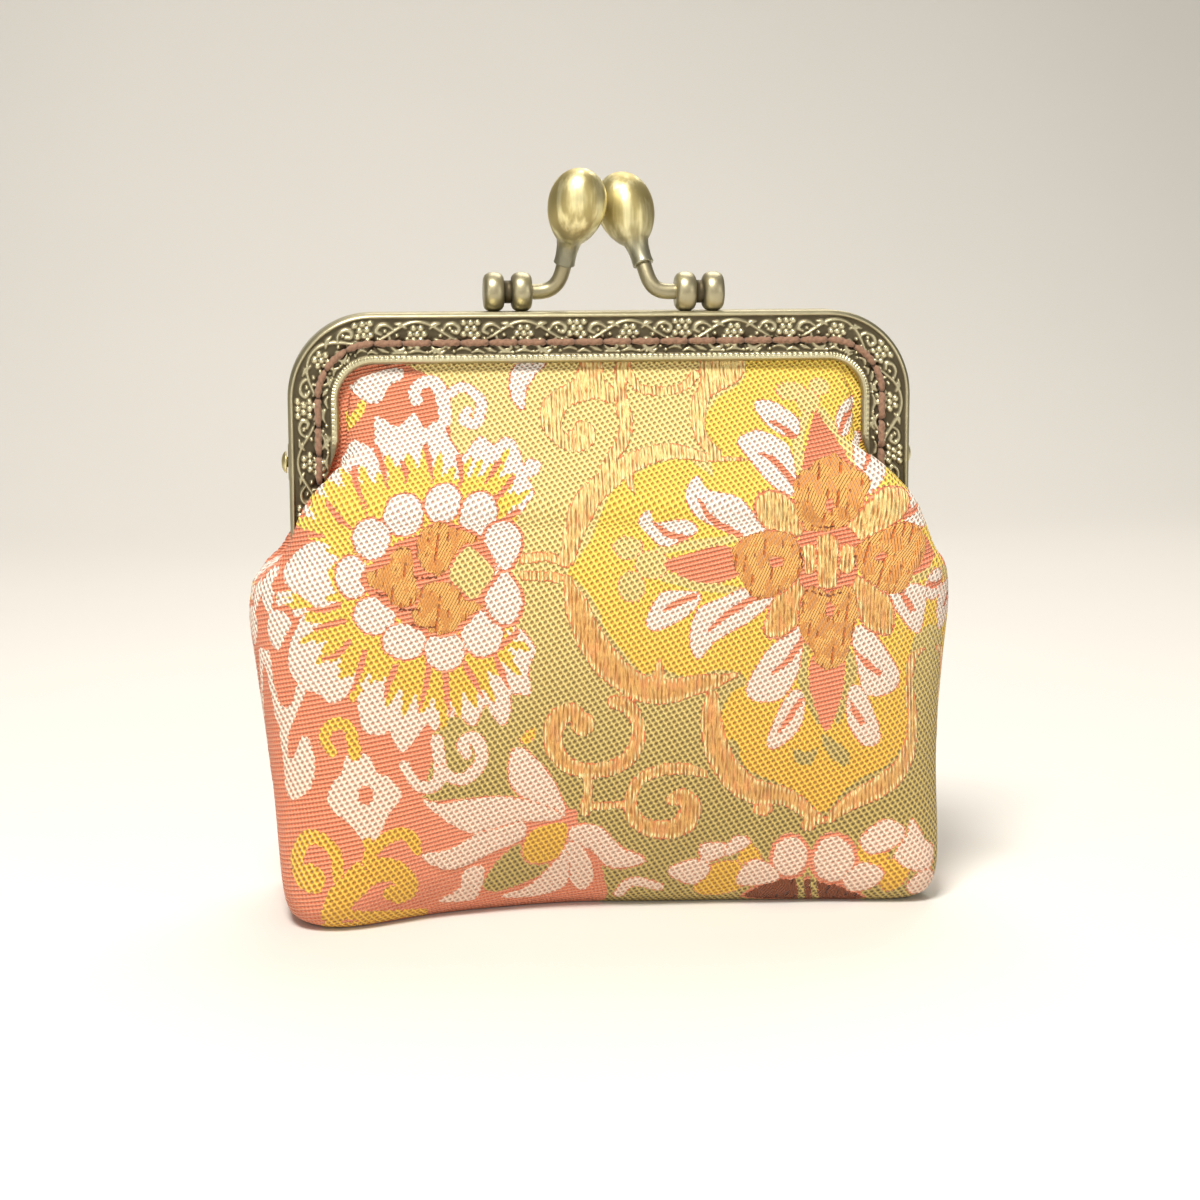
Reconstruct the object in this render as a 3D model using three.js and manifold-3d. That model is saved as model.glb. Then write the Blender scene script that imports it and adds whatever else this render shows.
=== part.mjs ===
// Kiss-lock coin pouch: a brocade pouch sewn into a hinged frame of embossed sheet brass.
// Millimetres. +Z is up, the front faces -Y, and the origin lies under the middle of the flat base.
// Both halves are drawn as the front half and the back one is turned half a turn about Z.

import * as THREE from "three";
import { mergeVertices } from "three/addons/utils/BufferGeometryUtils.js";
import Module from "manifold-3d";

const wasm = await Module();
wasm.setup();

// Driving dimensions of the frame
const FRAME_WIDTH = 85;
const FRAME_TOP = 81;
const FRAME_CORNER = 11.5;
const BAR_WIDTH = 6.8;
const LEG_BOTTOM = 50;
const TAPER_TOP = 64;
const LEG_TIP_WIDTH = 2.0;
const SHEET = 0.8;
const CHANNEL_GAP = 1.8;
const HALVES_GAP = 0.3;
const EDGE_ROUND = 0.6;
const ARC_STEPS = 4;
const LEAST_ARC = 0.2;
const ROUND_SIDES = 12;
const CUT_OVERSHOOT = 2;

// Hinge at the legs
const HINGE_Z = 61;
const EAR_RADIUS = 2.6;
const EAR_CLEARANCE = 0.3;
const PIN_RADIUS = 0.7;
const PIN_CLEARANCE = 0.3;
const RIVET_HEAD_RADIUS = 1.5;
const RIVET_HEAD_HEIGHT = 0.7;
const RIVET_HEAD_STEPS = 3;
const RIVET_FOOT_RADIUS = 1.3;
const RIVET_FOOT_HEIGHT = 0.4;
const INNER_EAR_INSET = 1.2;

// Embossing and sewing holes on the outer face of the bar
const RELIEF_HEIGHT = 0.35;
const RELIEF_SINK = 0.2;
const VINE_INSET = 2.3;
const VINE_BOTTOM = 54;
const VINE_UNITS = 17;
const BORDER_OUTER = 5.5;
const STITCH_INSET = 4.0;
const STITCH_COUNT = 25;
const STITCH_HOLE_RADIUS = 0.65;
const STITCH_HOLE_SIDES = 5;

// Clasp: a spool soldered on the frame, a bent wire, and an olive bead on a ferrule
const SPOOL_RING_RADIUS = 2.7;
const SPOOL_RING_LENGTH = 2.8;
const SPOOL_NECK_RADIUS = 1.55;
const SPOOL_NECK_LENGTH = 1.0;
const SPOOL_RING_STEPS = 4;
const SPOOL_SINK = 0.1;
const WIRE_RADIUS = 1.1;
const WIRE_RUN = 2.4;
const WIRE_BEND = 2.2;
const WIRE_STEPS = 10;
const SPIGOT_RADIUS = 0.5;
const SPIGOT_LENGTH = 2.0;
const FERRULE_LENGTH = 2.8;
const FERRULE_FOOT_RADIUS = 1.2;
const FERRULE_TOP_RADIUS = 1.65;
const FERRULE_BORE_DEPTH = 2.4;
const BEAD_LENGTH = 11.1;
const BEAD_RADIUS = 3.95;
const BEAD_OVERLAP = 0.4;
const BEAD_FOOT_ANGLE = 0.16 * Math.PI;
const BEAD_ROWS = 10;
const CLASP_GAP = 0.3;

// Where each clasp stands in its own half: spool middle, foot of the ferrule and middle of the bead
const CLASPS = {
  front: { spoolX: 13.3, footX: 5.95, footY: -0.6, footZ: 87.0, beadX: 3.9, beadY: 2.3, beadZ: 94.4 },
  back: { spoolX: 12.5, footX: 4.9, footY: -0.6, footZ: 87.1, beadX: 3.4, beadY: 2.3, beadZ: 95.1 },
};

// Cloth of the pouch
const CLOTH = 1.2;
const SEAM_GAP = 0.3;
const TUCK_INSET = 3.0;
const CLOTH_COLUMNS = 20;
const EDGE_CROWDING = 0.5;
const LEG_CLEARANCE = 0.65;
const SEAM_TOP = 54;
const OVERHANG_REACH = 1.8;
const SHALLOW_TUCK = 0.5;
const ARC_SAMPLES = 48;
const HELD_DEPTH = 0.5;
const LOOSE_DEPTH = 7;

// Level sections of one panel, from its edge in the frame down to the seam under the base.
// halfWidth and depth are those of the bulge, beside is its half-width where it lies behind the
// face of the frame, and square is its superellipse exponent.
const CLOTH_SECTIONS = [
  { z: 71.9, halfWidth: 33.0, beside: 33.0, depth: 1.0, square: 2.6 },
  { z: 69.3, halfWidth: 33.9, beside: 33.9, depth: 2.6, square: 2.6 },
  { z: 65.0, halfWidth: 34.8, beside: 34.1, depth: 5.0, square: 2.7 },
  { z: 60.5, halfWidth: 37.4, beside: 35.2, depth: 7.6, square: 3.2 },
  { z: 56.5, halfWidth: 40.0, beside: 36.6, depth: 10.0, square: 3.6 },
  { z: 53.5, halfWidth: 42.2, beside: 37.7, depth: 12.0, square: 3.7 },
  { z: 49.9, halfWidth: 43.5, beside: 39.1, depth: 13.4, square: 3.6 },
  { z: 48.3, halfWidth: 44.6, beside: 41.6, depth: 14.0, square: 3.4 },
  { z: 46.3, halfWidth: 46.6, beside: 45.4, depth: 14.5, square: 3.3 },
  { z: 44.2, halfWidth: 47.4, beside: 47.2, depth: 14.9, square: 3.2 },
  { z: 41.0, halfWidth: 47.6, beside: 47.6, depth: 15.3, square: 3.2 },
  { z: 34.0, halfWidth: 46.9, beside: 46.9, depth: 15.7, square: 3.4 },
  { z: 25.0, halfWidth: 45.8, beside: 45.8, depth: 15.6, square: 3.7 },
  { z: 16.0, halfWidth: 44.9, beside: 44.9, depth: 14.8, square: 4.0 },
  { z: 9.0, halfWidth: 44.3, beside: 44.3, depth: 13.5, square: 4.4 },
  { z: 4.2, halfWidth: 43.8, beside: 43.8, depth: 12.0, square: 4.8 },
  { z: 1.6, halfWidth: 43.2, beside: 43.2, depth: 10.2, square: 5.0 },
  { z: 0.6, halfWidth: 42.0, beside: 42.0, depth: 8.4, square: 5.0 },
  { z: 0.6, halfWidth: 40.6, beside: 40.6, depth: 4.2, square: 5.0 },
  { z: 0.6, halfWidth: 39.2, beside: 39.2, depth: 0, square: 5.0 },
];

// Heights of the rows that lie flat inside the channel of the frame
const TUCKED_ROWS = [78.0, 76.4, 73.7];

// Soft dents and swellings: where they lie, how far they reach, and how far they push the cloth
// forwards and to the side
const FRONT_FOLDS = [
  { name: "left foot", x: -39, z: 0, reachX: 13, reachZ: 17, forward: 7.4, sideways: -0.8 },
  { name: "right foot", x: 42, z: 0, reachX: 11, reachZ: 18, forward: 4.0, sideways: 2.0 },
  { name: "raised front edge", x: -4, z: 0, reachX: 17, reachZ: 9, forward: -2.6, sideways: 0 },
  { name: "slack beside the right leg", x: 36, z: 60, reachX: 6, reachZ: 9, forward: 0.8, sideways: 2.2 },
  { name: "right shoulder", x: 44, z: 51, reachX: 7, reachZ: 6, forward: 0.6, sideways: 2.2 },
  { name: "crease under the left shoulder", x: -44, z: 47, reachX: 5, reachZ: 7, forward: -0.8, sideways: 0 },
];
const BACK_FOLDS = [
  { name: "left foot", x: -38, z: 0, reachX: 13, reachZ: 17, forward: 2.6, sideways: -0.8 },
  { name: "right foot", x: 39, z: 0, reachX: 13, reachZ: 17, forward: 3.4, sideways: 0.8 },
  { name: "full middle", x: 2, z: 29, reachX: 26, reachZ: 17, forward: 1.7, sideways: 0 },
];

// Sizes that follow from the driving dimensions
const HALF_WIDTH = FRAME_WIDTH / 2;
const INNER_FACE = HALVES_GAP / 2;
const HALF_DEPTH = 2 * SHEET + CHANNEL_GAP;
const OUTER_FACE = INNER_FACE + HALF_DEPTH;
const CHANNEL_MIDDLE = INNER_FACE + HALF_DEPTH / 2;
const CORNER_X = HALF_WIDTH - FRAME_CORNER;
const CORNER_Z = FRAME_TOP - FRAME_CORNER;

const BRASS = new THREE.MeshStandardMaterial({ color: 0x8f7f4e, roughness: 0.42, metalness: 0.9 });
const BRIGHT_BRASS = new THREE.MeshStandardMaterial({ color: 0xb5a05c, roughness: 0.3, metalness: 0.9 });
const BROCADE = new THREE.MeshStandardMaterial({ color: 0xd9a86a, roughness: 0.75, metalness: 0 });

// Turns a closed geometry into a solid that can be joined and cut.
function solidOf(geometry) {
  const bare = new THREE.BufferGeometry();
  bare.setAttribute("position", geometry.getAttribute("position"));
  bare.setIndex(geometry.index);
  const merged = mergeVertices(bare, 1e-4);
  return new wasm.Manifold(
    new wasm.Mesh({
      numProp: 3,
      vertProperties: merged.getAttribute("position").array,
      triVerts: new Uint32Array(merged.index.array),
    }),
  );
}

// Turns a solid back into a geometry with flat facets.
function geometryOf(solid) {
  const { vertProperties, triVerts, numProp } = solid.getMesh();
  const positions = new Float32Array((vertProperties.length / numProp) * 3);
  for (let i = 0; i < positions.length / 3; i += 1) {
    positions.set(vertProperties.subarray(i * numProp, i * numProp + 3), i * 3);
  }
  const geometry = new THREE.BufferGeometry();
  geometry.setAttribute("position", new THREE.BufferAttribute(positions, 3));
  geometry.setIndex(new THREE.BufferAttribute(new Uint32Array(triVerts), 1));
  return geometry;
}

function joinAll(solids) {
  return solids.reduce((whole, piece) => whole.add(piece));
}

function cutAll(solid, tools) {
  return tools.reduce((rest, tool) => rest.subtract(tool), solid);
}

// An upright arch shape drawn in X and Z, extruded towards the front from one depth to another.
function frontExtrusion(shape, fromDepth, toDepth, bevel = {}) {
  const round = bevel.round ?? 0;
  const geometry = new THREE.ExtrudeGeometry(shape, {
    depth: toDepth - fromDepth - 2 * round,
    curveSegments: ARC_STEPS,
    bevelEnabled: round > 0,
    bevelThickness: round,
    bevelSize: round,
    bevelOffset: -round,
    bevelSegments: 2,
  });
  return geometry.rotateX(Math.PI / 2).translate(0, -(fromDepth + round), 0);
}

// The arch between two insets from the outer edge of the frame, with legs that may taper to their tips.
function archShape({ outer, inner, bottom, tipWidth }) {
  const outerX = HALF_WIDTH - outer;
  const innerX = HALF_WIDTH - inner;
  const tipX = tipWidth === undefined ? innerX : HALF_WIDTH - tipWidth;
  const innerArc = Math.max(FRAME_CORNER - inner, LEAST_ARC);
  const shape = new THREE.Shape();
  shape.moveTo(-outerX, bottom);
  shape.lineTo(-outerX, CORNER_Z);
  shape.absarc(-CORNER_X, CORNER_Z, FRAME_CORNER - outer, Math.PI, Math.PI / 2, true);
  shape.absarc(CORNER_X, CORNER_Z, FRAME_CORNER - outer, Math.PI / 2, 0, true);
  shape.lineTo(outerX, bottom);
  shape.lineTo(tipX, bottom);
  shape.lineTo(innerX, TAPER_TOP);
  shape.absarc(CORNER_X, CORNER_Z, innerArc, 0, Math.PI / 2, false);
  shape.absarc(-CORNER_X, CORNER_Z, innerArc, Math.PI / 2, Math.PI, false);
  shape.lineTo(-innerX, TAPER_TOP);
  shape.lineTo(-tipX, bottom);
  shape.closePath();
  return shape;
}

// The line that runs round the arch at one inset, from the left leg over the top to the right leg.
function archLine(inset, bottom) {
  const line = new THREE.Path();
  line.moveTo(-(HALF_WIDTH - inset), bottom);
  line.lineTo(-(HALF_WIDTH - inset), CORNER_Z);
  line.absarc(-CORNER_X, CORNER_Z, FRAME_CORNER - inset, Math.PI, Math.PI / 2, true);
  line.absarc(CORNER_X, CORNER_Z, FRAME_CORNER - inset, Math.PI / 2, 0, true);
  line.lineTo(HALF_WIDTH - inset, bottom);
  return line;
}

// Places a point given along and across the arch line: across grows towards the outer edge.
function onArch(line, share, along, across) {
  const reach = THREE.MathUtils.clamp(share + along / line.getLength(), 0, 1);
  const point = line.getPointAt(reach);
  const tangent = line.getTangentAt(reach);
  return new THREE.Vector3(point.x - tangent.y * across, 0, point.y + tangent.x * across);
}

// A round bar along X between two places, centred on the hinge axis.
function hingeBar(radius, fromX, toX) {
  const bar = new THREE.CylinderGeometry(radius, radius, Math.abs(toX - fromX), ROUND_SIDES);
  return solidOf(bar.rotateZ(Math.PI / 2).translate((fromX + toX) / 2, 0, HINGE_Z));
}

function plainBox(sizeX, sizeY, sizeZ, x, y, z) {
  return solidOf(new THREE.BoxGeometry(sizeX, sizeY, sizeZ).translate(x, y, z));
}

// Frame channel with hinge ears: on the right an ear in line with the web, on the left one inside it.
function channelSolid() {
  const band = archShape({ outer: 0, inner: BAR_WIDTH, bottom: LEG_BOTTOM, tipWidth: LEG_TIP_WIDTH });
  const slot = archShape({
    outer: SHEET,
    inner: BAR_WIDTH + CUT_OVERSHOOT,
    bottom: LEG_BOTTOM - CUT_OVERSHOOT,
  });
  const slotStart = INNER_FACE + SHEET;
  const body = solidOf(frontExtrusion(band, INNER_FACE, OUTER_FACE, { round: EDGE_ROUND }));
  const groove = solidOf(frontExtrusion(slot, slotStart, slotStart + CHANNEL_GAP));

  const innerEarOut = HALF_WIDTH - INNER_EAR_INSET;
  const innerEarIn = innerEarOut - SHEET;
  const clearRadius = EAR_RADIUS + EAR_CLEARANCE;
  const webFace = HALF_WIDTH - SHEET;
  const outerEar = hingeBar(EAR_RADIUS, webFace, HALF_WIDTH);
  const innerEar = hingeBar(EAR_RADIUS, -innerEarOut, -innerEarIn);
  const earTab = plainBox(
    SHEET, OUTER_FACE - SHEET / 2, 2 * EAR_RADIUS,
    -(innerEarIn + SHEET / 2), -(OUTER_FACE - SHEET / 2) / 2, HINGE_Z,
  );
  const roomEnd = innerEarIn - RIVET_FOOT_HEIGHT - 2 * PIN_CLEARANCE;
  const room = [
    hingeBar(clearRadius, roomEnd, webFace),
    hingeBar(clearRadius, -HALF_WIDTH - CUT_OVERSHOOT, -roomEnd),
  ];
  const pinReach = HALF_WIDTH + CUT_OVERSHOOT;
  const pinHoles = hingeBar(PIN_RADIUS + PIN_CLEARANCE, -pinReach, pinReach);
  const opened = cutAll(body.subtract(groove), room);
  return joinAll([opened, outerEar, innerEar, earTab]).subtract(pinHoles);
}

// One raised arch of the vine, as a ridge of triangular section.
function vineRidge(line, share) {
  const arc = { centreAcross: -1.0, radius: 2.3, from: 0.12 * Math.PI, to: 0.88 * Math.PI, points: 4 };
  const width = 0.3;
  const points = [];
  for (let i = 0; i < arc.points; i += 1) {
    const angle = THREE.MathUtils.lerp(arc.from, arc.to, i / (arc.points - 1));
    const along = arc.radius * Math.cos(angle);
    points.push(onArch(line, share, along, arc.centreAcross + arc.radius * Math.sin(angle)));
  }
  const ridge = new THREE.Shape([
    new THREE.Vector2(-RELIEF_SINK, -width),
    new THREE.Vector2(-RELIEF_SINK, width),
    new THREE.Vector2(RELIEF_HEIGHT, 0),
  ]);
  return solidOf(sweep(ridge, points).translate(0, -OUTER_FACE, 0));
}

// Sweeps a shape along points in the XZ plane: the shape's x axis points to the front.
function sweep(shape, points) {
  const section = shape.getPoints();
  const rings = points.map((point, i) => {
    const before = points[Math.max(i - 1, 0)];
    const after = points[Math.min(i + 1, points.length - 1)];
    const tangent = after.clone().sub(before).normalize();
    const side = new THREE.Vector3(-tangent.z, 0, tangent.x);
    return section.map((p) => point.clone().addScaledVector(side, p.y).add(new THREE.Vector3(0, -p.x, 0)));
  });
  return tubeGeometry(rings);
}

// Joins equal rings of points into a closed tube with flat ends.
function tubeGeometry(rings) {
  const count = rings[0].length;
  const positions = rings.flat().flatMap((p) => [p.x, p.y, p.z]);
  const index = [];
  for (let r = 0; r + 1 < rings.length; r += 1) {
    for (let i = 0; i < count; i += 1) {
      const a = r * count + i;
      const b = r * count + ((i + 1) % count);
      index.push(a, b, b + count, a, b + count, a + count);
    }
  }
  const last = (rings.length - 1) * count;
  for (let i = 1; i + 1 < count; i += 1) {
    index.push(0, i + 1, i, last, last + i, last + i + 1);
  }
  const geometry = new THREE.BufferGeometry();
  geometry.setAttribute("position", new THREE.Float32BufferAttribute(positions, 3));
  geometry.setIndex(index);
  return geometry;
}

// One unit of the vine: berries under each arch.
const VINE_BERRIES = [
  { along: -1.15, across: -0.55, radius: 0.5 },
  { along: 0, across: 0.25, radius: 0.6 },
  { along: 1.15, across: -0.55, radius: 0.5 },
];

function berry(line, share, { along, across, radius }) {
  const height = RELIEF_HEIGHT + RELIEF_SINK;
  const stud = new THREE.ConeGeometry(radius, height, 4).rotateX(Math.PI / 2);
  const place = onArch(line, share, along, across);
  return solidOf(stud.translate(place.x, -(OUTER_FACE - RELIEF_SINK + height / 2), place.z));
}

function reliefSolids() {
  const vine = archLine(VINE_INSET, VINE_BOTTOM);
  const border = archShape({ outer: BORDER_OUTER, inner: BAR_WIDTH - EDGE_ROUND, bottom: TAPER_TOP });
  const solids = [solidOf(frontExtrusion(border, OUTER_FACE - RELIEF_SINK, OUTER_FACE + RELIEF_HEIGHT))];
  for (let unit = 0; unit < VINE_UNITS; unit += 1) {
    const share = (unit + 0.5) / VINE_UNITS;
    solids.push(vineRidge(vine, share));
    VINE_BERRIES.forEach((spec) => solids.push(berry(vine, share, spec)));
  }
  return solids;
}

function stitchHoles() {
  const line = archLine(STITCH_INSET, TAPER_TOP);
  return Array.from({ length: STITCH_COUNT }, (_, i) => {
    const place = onArch(line, (i + 0.5) / STITCH_COUNT, 0, 0);
    const radius = STITCH_HOLE_RADIUS;
    const drill = new THREE.CylinderGeometry(radius, radius, 2 * SHEET, STITCH_HOLE_SIDES);
    return solidOf(drill.translate(place.x, -(OUTER_FACE - SHEET / 2), place.z));
  });
}

// The spool that carries the wire: two round rings and a neck, on an axis along X.
function spoolSolid(middleX) {
  const half = SPOOL_NECK_LENGTH / 2 + SPOOL_RING_LENGTH;
  const profile = [new THREE.Vector2(0, -half)];
  for (const start of [-half, SPOOL_NECK_LENGTH / 2]) {
    for (let i = 0; i <= SPOOL_RING_STEPS; i += 1) {
      const angle = (i / SPOOL_RING_STEPS) * Math.PI;
      const swell = SPOOL_NECK_RADIUS + (SPOOL_RING_RADIUS - SPOOL_NECK_RADIUS) * Math.sqrt(Math.sin(angle));
      profile.push(new THREE.Vector2(swell, start + SPOOL_RING_LENGTH * (1 - Math.cos(angle)) / 2));
    }
  }
  profile.push(new THREE.Vector2(0, half));
  const spool = new THREE.LatheGeometry(profile, ROUND_SIDES).rotateZ(-Math.PI / 2);
  return solidOf(spool.translate(middleX, -CHANNEL_MIDDLE, FRAME_TOP + SPOOL_RING_RADIUS - SPOOL_SINK));
}

// Where a clasp's ferrule starts and which way it and its bead lean.
function claspAxis(clasp) {
  const foot = new THREE.Vector3(clasp.footX, clasp.footY, clasp.footZ);
  const middle = new THREE.Vector3(clasp.beadX, clasp.beadY, clasp.beadZ);
  return { foot, lean: middle.clone().sub(foot).normalize() };
}

// The wire runs level out of the spool, bends up into the lean of the bead and ends in a thin spigot.
function wireSolid(clasp) {
  const { foot, lean } = claspAxis(clasp);
  const spoolEnd = clasp.spoolX - SPOOL_NECK_LENGTH / 2 - SPOOL_RING_LENGTH;
  const level = FRAME_TOP + SPOOL_RING_RADIUS - SPOOL_SINK;
  const start = new THREE.Vector3(spoolEnd + SPOOL_RING_LENGTH / 2, -CHANNEL_MIDDLE, level);
  const bendStart = new THREE.Vector3(spoolEnd - WIRE_RUN, -CHANNEL_MIDDLE, level);
  const bend = new THREE.CubicBezierCurve3(
    bendStart,
    bendStart.clone().add(new THREE.Vector3(-WIRE_BEND, 0, 0)),
    foot.clone().addScaledVector(lean, -WIRE_BEND),
    foot,
  );
  const route = new THREE.CurvePath();
  route.add(new THREE.LineCurve3(start, bendStart));
  route.add(bend);
  const round = new THREE.Shape().absarc(0, 0, WIRE_RADIUS, 0, 2 * Math.PI, false);
  const wire = new THREE.ExtrudeGeometry(round, {
    steps: WIRE_STEPS,
    curveSegments: ARC_STEPS,
    extrudePath: route,
  });
  const spigotLength = SPIGOT_LENGTH + WIRE_RADIUS / 2;
  const spigot = new THREE.CylinderGeometry(SPIGOT_RADIUS, SPIGOT_RADIUS, spigotLength, ROUND_SIDES);
  spigot.translate(0, spigotLength / 2 - WIRE_RADIUS / 2, 0);
  spigot.applyQuaternion(new THREE.Quaternion().setFromUnitVectors(new THREE.Vector3(0, 1, 0), lean));
  spigot.translate(foot.x, foot.y, foot.z);
  return solidOf(wire).add(solidOf(spigot));
}

// The soldered half of the frame: channel, relief, sewing holes, spool and wire in one solid.
function frameHalf(clasp) {
  const raised = joinAll([channelSolid(), ...reliefSolids()]);
  const pierced = cutAll(raised, stitchHoles());
  return geometryOf(joinAll([pierced, spoolSolid(clasp.spoolX), wireSolid(clasp)]));
}

// The olive bead with its ferrule, bored from below for the spigot of the wire.
function beadGeometry(clasp) {
  const boreRadius = SPIGOT_RADIUS + CLASP_GAP;
  const middle = CLASP_GAP + FERRULE_LENGTH - BEAD_OVERLAP + BEAD_LENGTH / 2;
  const profile = [
    new THREE.Vector2(0, CLASP_GAP + FERRULE_BORE_DEPTH),
    new THREE.Vector2(boreRadius, CLASP_GAP + FERRULE_BORE_DEPTH),
    new THREE.Vector2(boreRadius, CLASP_GAP),
    new THREE.Vector2(FERRULE_FOOT_RADIUS, CLASP_GAP),
    new THREE.Vector2(FERRULE_TOP_RADIUS, CLASP_GAP + FERRULE_LENGTH),
  ];
  for (let i = 1; i <= BEAD_ROWS; i += 1) {
    const angle = THREE.MathUtils.lerp(BEAD_FOOT_ANGLE, Math.PI, i / BEAD_ROWS);
    const radius = i === BEAD_ROWS ? 0 : BEAD_RADIUS * Math.sin(angle);
    profile.push(new THREE.Vector2(radius, middle - (BEAD_LENGTH / 2) * Math.cos(angle)));
  }
  const { foot, lean } = claspAxis(clasp);
  const bead = new THREE.LatheGeometry(profile, ROUND_SIDES);
  bead.applyQuaternion(new THREE.Quaternion().setFromUnitVectors(new THREE.Vector3(0, 1, 0), lean));
  return geometryOf(solidOf(bead.translate(foot.x, foot.y, foot.z)));
}

// A hinge rivet on the right: domed head outside, pin through both ears, small foot inside.
function rivetGeometry() {
  const earFace = HALF_WIDTH - INNER_EAR_INSET - SHEET;
  const foot = earFace - PIN_CLEARANCE;
  const head = HALF_WIDTH + PIN_CLEARANCE;
  const profile = [
    new THREE.Vector2(0, foot - RIVET_FOOT_HEIGHT),
    new THREE.Vector2(RIVET_FOOT_RADIUS, foot - RIVET_FOOT_HEIGHT),
    new THREE.Vector2(RIVET_FOOT_RADIUS, foot),
    new THREE.Vector2(PIN_RADIUS, foot),
    new THREE.Vector2(PIN_RADIUS, head),
  ];
  for (let i = 0; i <= RIVET_HEAD_STEPS; i += 1) {
    const angle = (i / RIVET_HEAD_STEPS) * (Math.PI / 2);
    const radius = i === RIVET_HEAD_STEPS ? 0 : RIVET_HEAD_RADIUS * Math.cos(angle);
    profile.push(new THREE.Vector2(radius, head + RIVET_HEAD_HEIGHT * Math.sin(angle)));
  }
  const rivet = new THREE.LatheGeometry(profile, ROUND_SIDES).rotateZ(-Math.PI / 2);
  return geometryOf(solidOf(rivet.translate(0, 0, HINGE_Z)));
}

// Half-width of the cloth's tucked edge at a height: it follows the arch, then the tapering leg.
function tuckedHalfWidth(z) {
  const radius = FRAME_CORNER - TUCK_INSET;
  const rise = Math.max(z - CORNER_Z, 0);
  const alongArch = CORNER_X + Math.sqrt(Math.max(radius * radius - rise * rise, 0));
  const taper = THREE.MathUtils.clamp((z - LEG_BOTTOM) / (TAPER_TOP - LEG_BOTTOM), 0, 1);
  const lipEdge = HALF_WIDTH - THREE.MathUtils.lerp(LEG_TIP_WIDTH, BAR_WIDTH, taper);
  return Math.min(alongArch, Math.max(lipEdge + SHALLOW_TUCK, CORNER_X));
}

// Points spaced along a section, closer together near its two ends.
function crowdedPoints(points) {
  const line = new THREE.Path(points);
  return Array.from({ length: CLOTH_COLUMNS + 1 }, (_, i) => {
    const even = i / CLOTH_COLUMNS;
    const crowded = (1 - Math.cos(Math.PI * even)) / 2;
    return line.getPointAt(THREE.MathUtils.lerp(even, crowded, EDGE_CROWDING));
  });
}

// One level section of the cloth's middle surface, from the left edge to the right edge.
function clothSection({ z, halfWidth, beside, depth, square }) {
  const tucked = z > SEAM_TOP;
  const baseY = -(tucked ? CHANNEL_MIDDLE : SEAM_GAP / 2);
  const legFront = OUTER_FACE + LEG_CLEARANCE + CLOTH / 2;
  const points = [];
  for (let i = 0; i <= ARC_SAMPLES; i += 1) {
    const angle = Math.PI * (1 - i / ARC_SAMPLES);
    const cos = Math.cos(angle);
    const y = baseY - depth * Math.pow(Math.max(Math.sin(angle), 0), 2 / square);
    const free = THREE.MathUtils.smoothstep(-y, legFront, legFront + OVERHANG_REACH);
    const reach = THREE.MathUtils.lerp(beside, halfWidth, free);
    points.push(new THREE.Vector2(Math.sign(cos) * reach * Math.pow(Math.abs(cos), 2 / square), y));
  }
  if (tucked) {
    const edge = tuckedHalfWidth(z);
    points.unshift(new THREE.Vector2(-edge, baseY));
    points.push(new THREE.Vector2(edge, baseY));
  }
  return crowdedPoints(points).map((p) => new THREE.Vector3(p.x, p.y, z));
}

function tuckedRow(z) {
  const edge = tuckedHalfWidth(z);
  const points = [new THREE.Vector2(-edge, -CHANNEL_MIDDLE), new THREE.Vector2(edge, -CHANNEL_MIDDLE)];
  return crowdedPoints(points).map((p) => new THREE.Vector3(p.x, p.y, z));
}

// Moves the cloth out or in by the folds, fading to nothing where it meets the seam or the frame.
function foldCloth(rows, folds) {
  rows.forEach((row) => row.forEach((point) => {
    const proud = -point.y - CHANNEL_MIDDLE;
    const loose = THREE.MathUtils.smoothstep(proud, HELD_DEPTH, LOOSE_DEPTH);
    for (const fold of folds) {
      const offX = (point.x - fold.x) / fold.reachX;
      const offZ = (point.z - fold.z) / fold.reachZ;
      const share = loose * Math.exp(-offX * offX - offZ * offZ);
      point.y -= share * fold.forward;
      point.x += share * fold.sideways;
    }
  }));
  return rows;
}

// Outward directions of the middle surface; along the seams they stay level with the seam plane.
function clothNormals(rows) {
  const lastRow = rows.length - 1;
  return rows.map((row, r) => row.map((_, c) => {
    const across = rows[r][Math.min(c + 1, CLOTH_COLUMNS)].clone().sub(rows[r][Math.max(c - 1, 0)]);
    const down = rows[Math.min(r + 1, lastRow)][c].clone().sub(rows[Math.max(r - 1, 0)][c]);
    const normal = down.cross(across).normalize();
    const onSeam = rows[r][c].y > -CHANNEL_MIDDLE / 2;
    return onSeam ? normal.setY(0).normalize() : normal;
  }));
}

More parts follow.
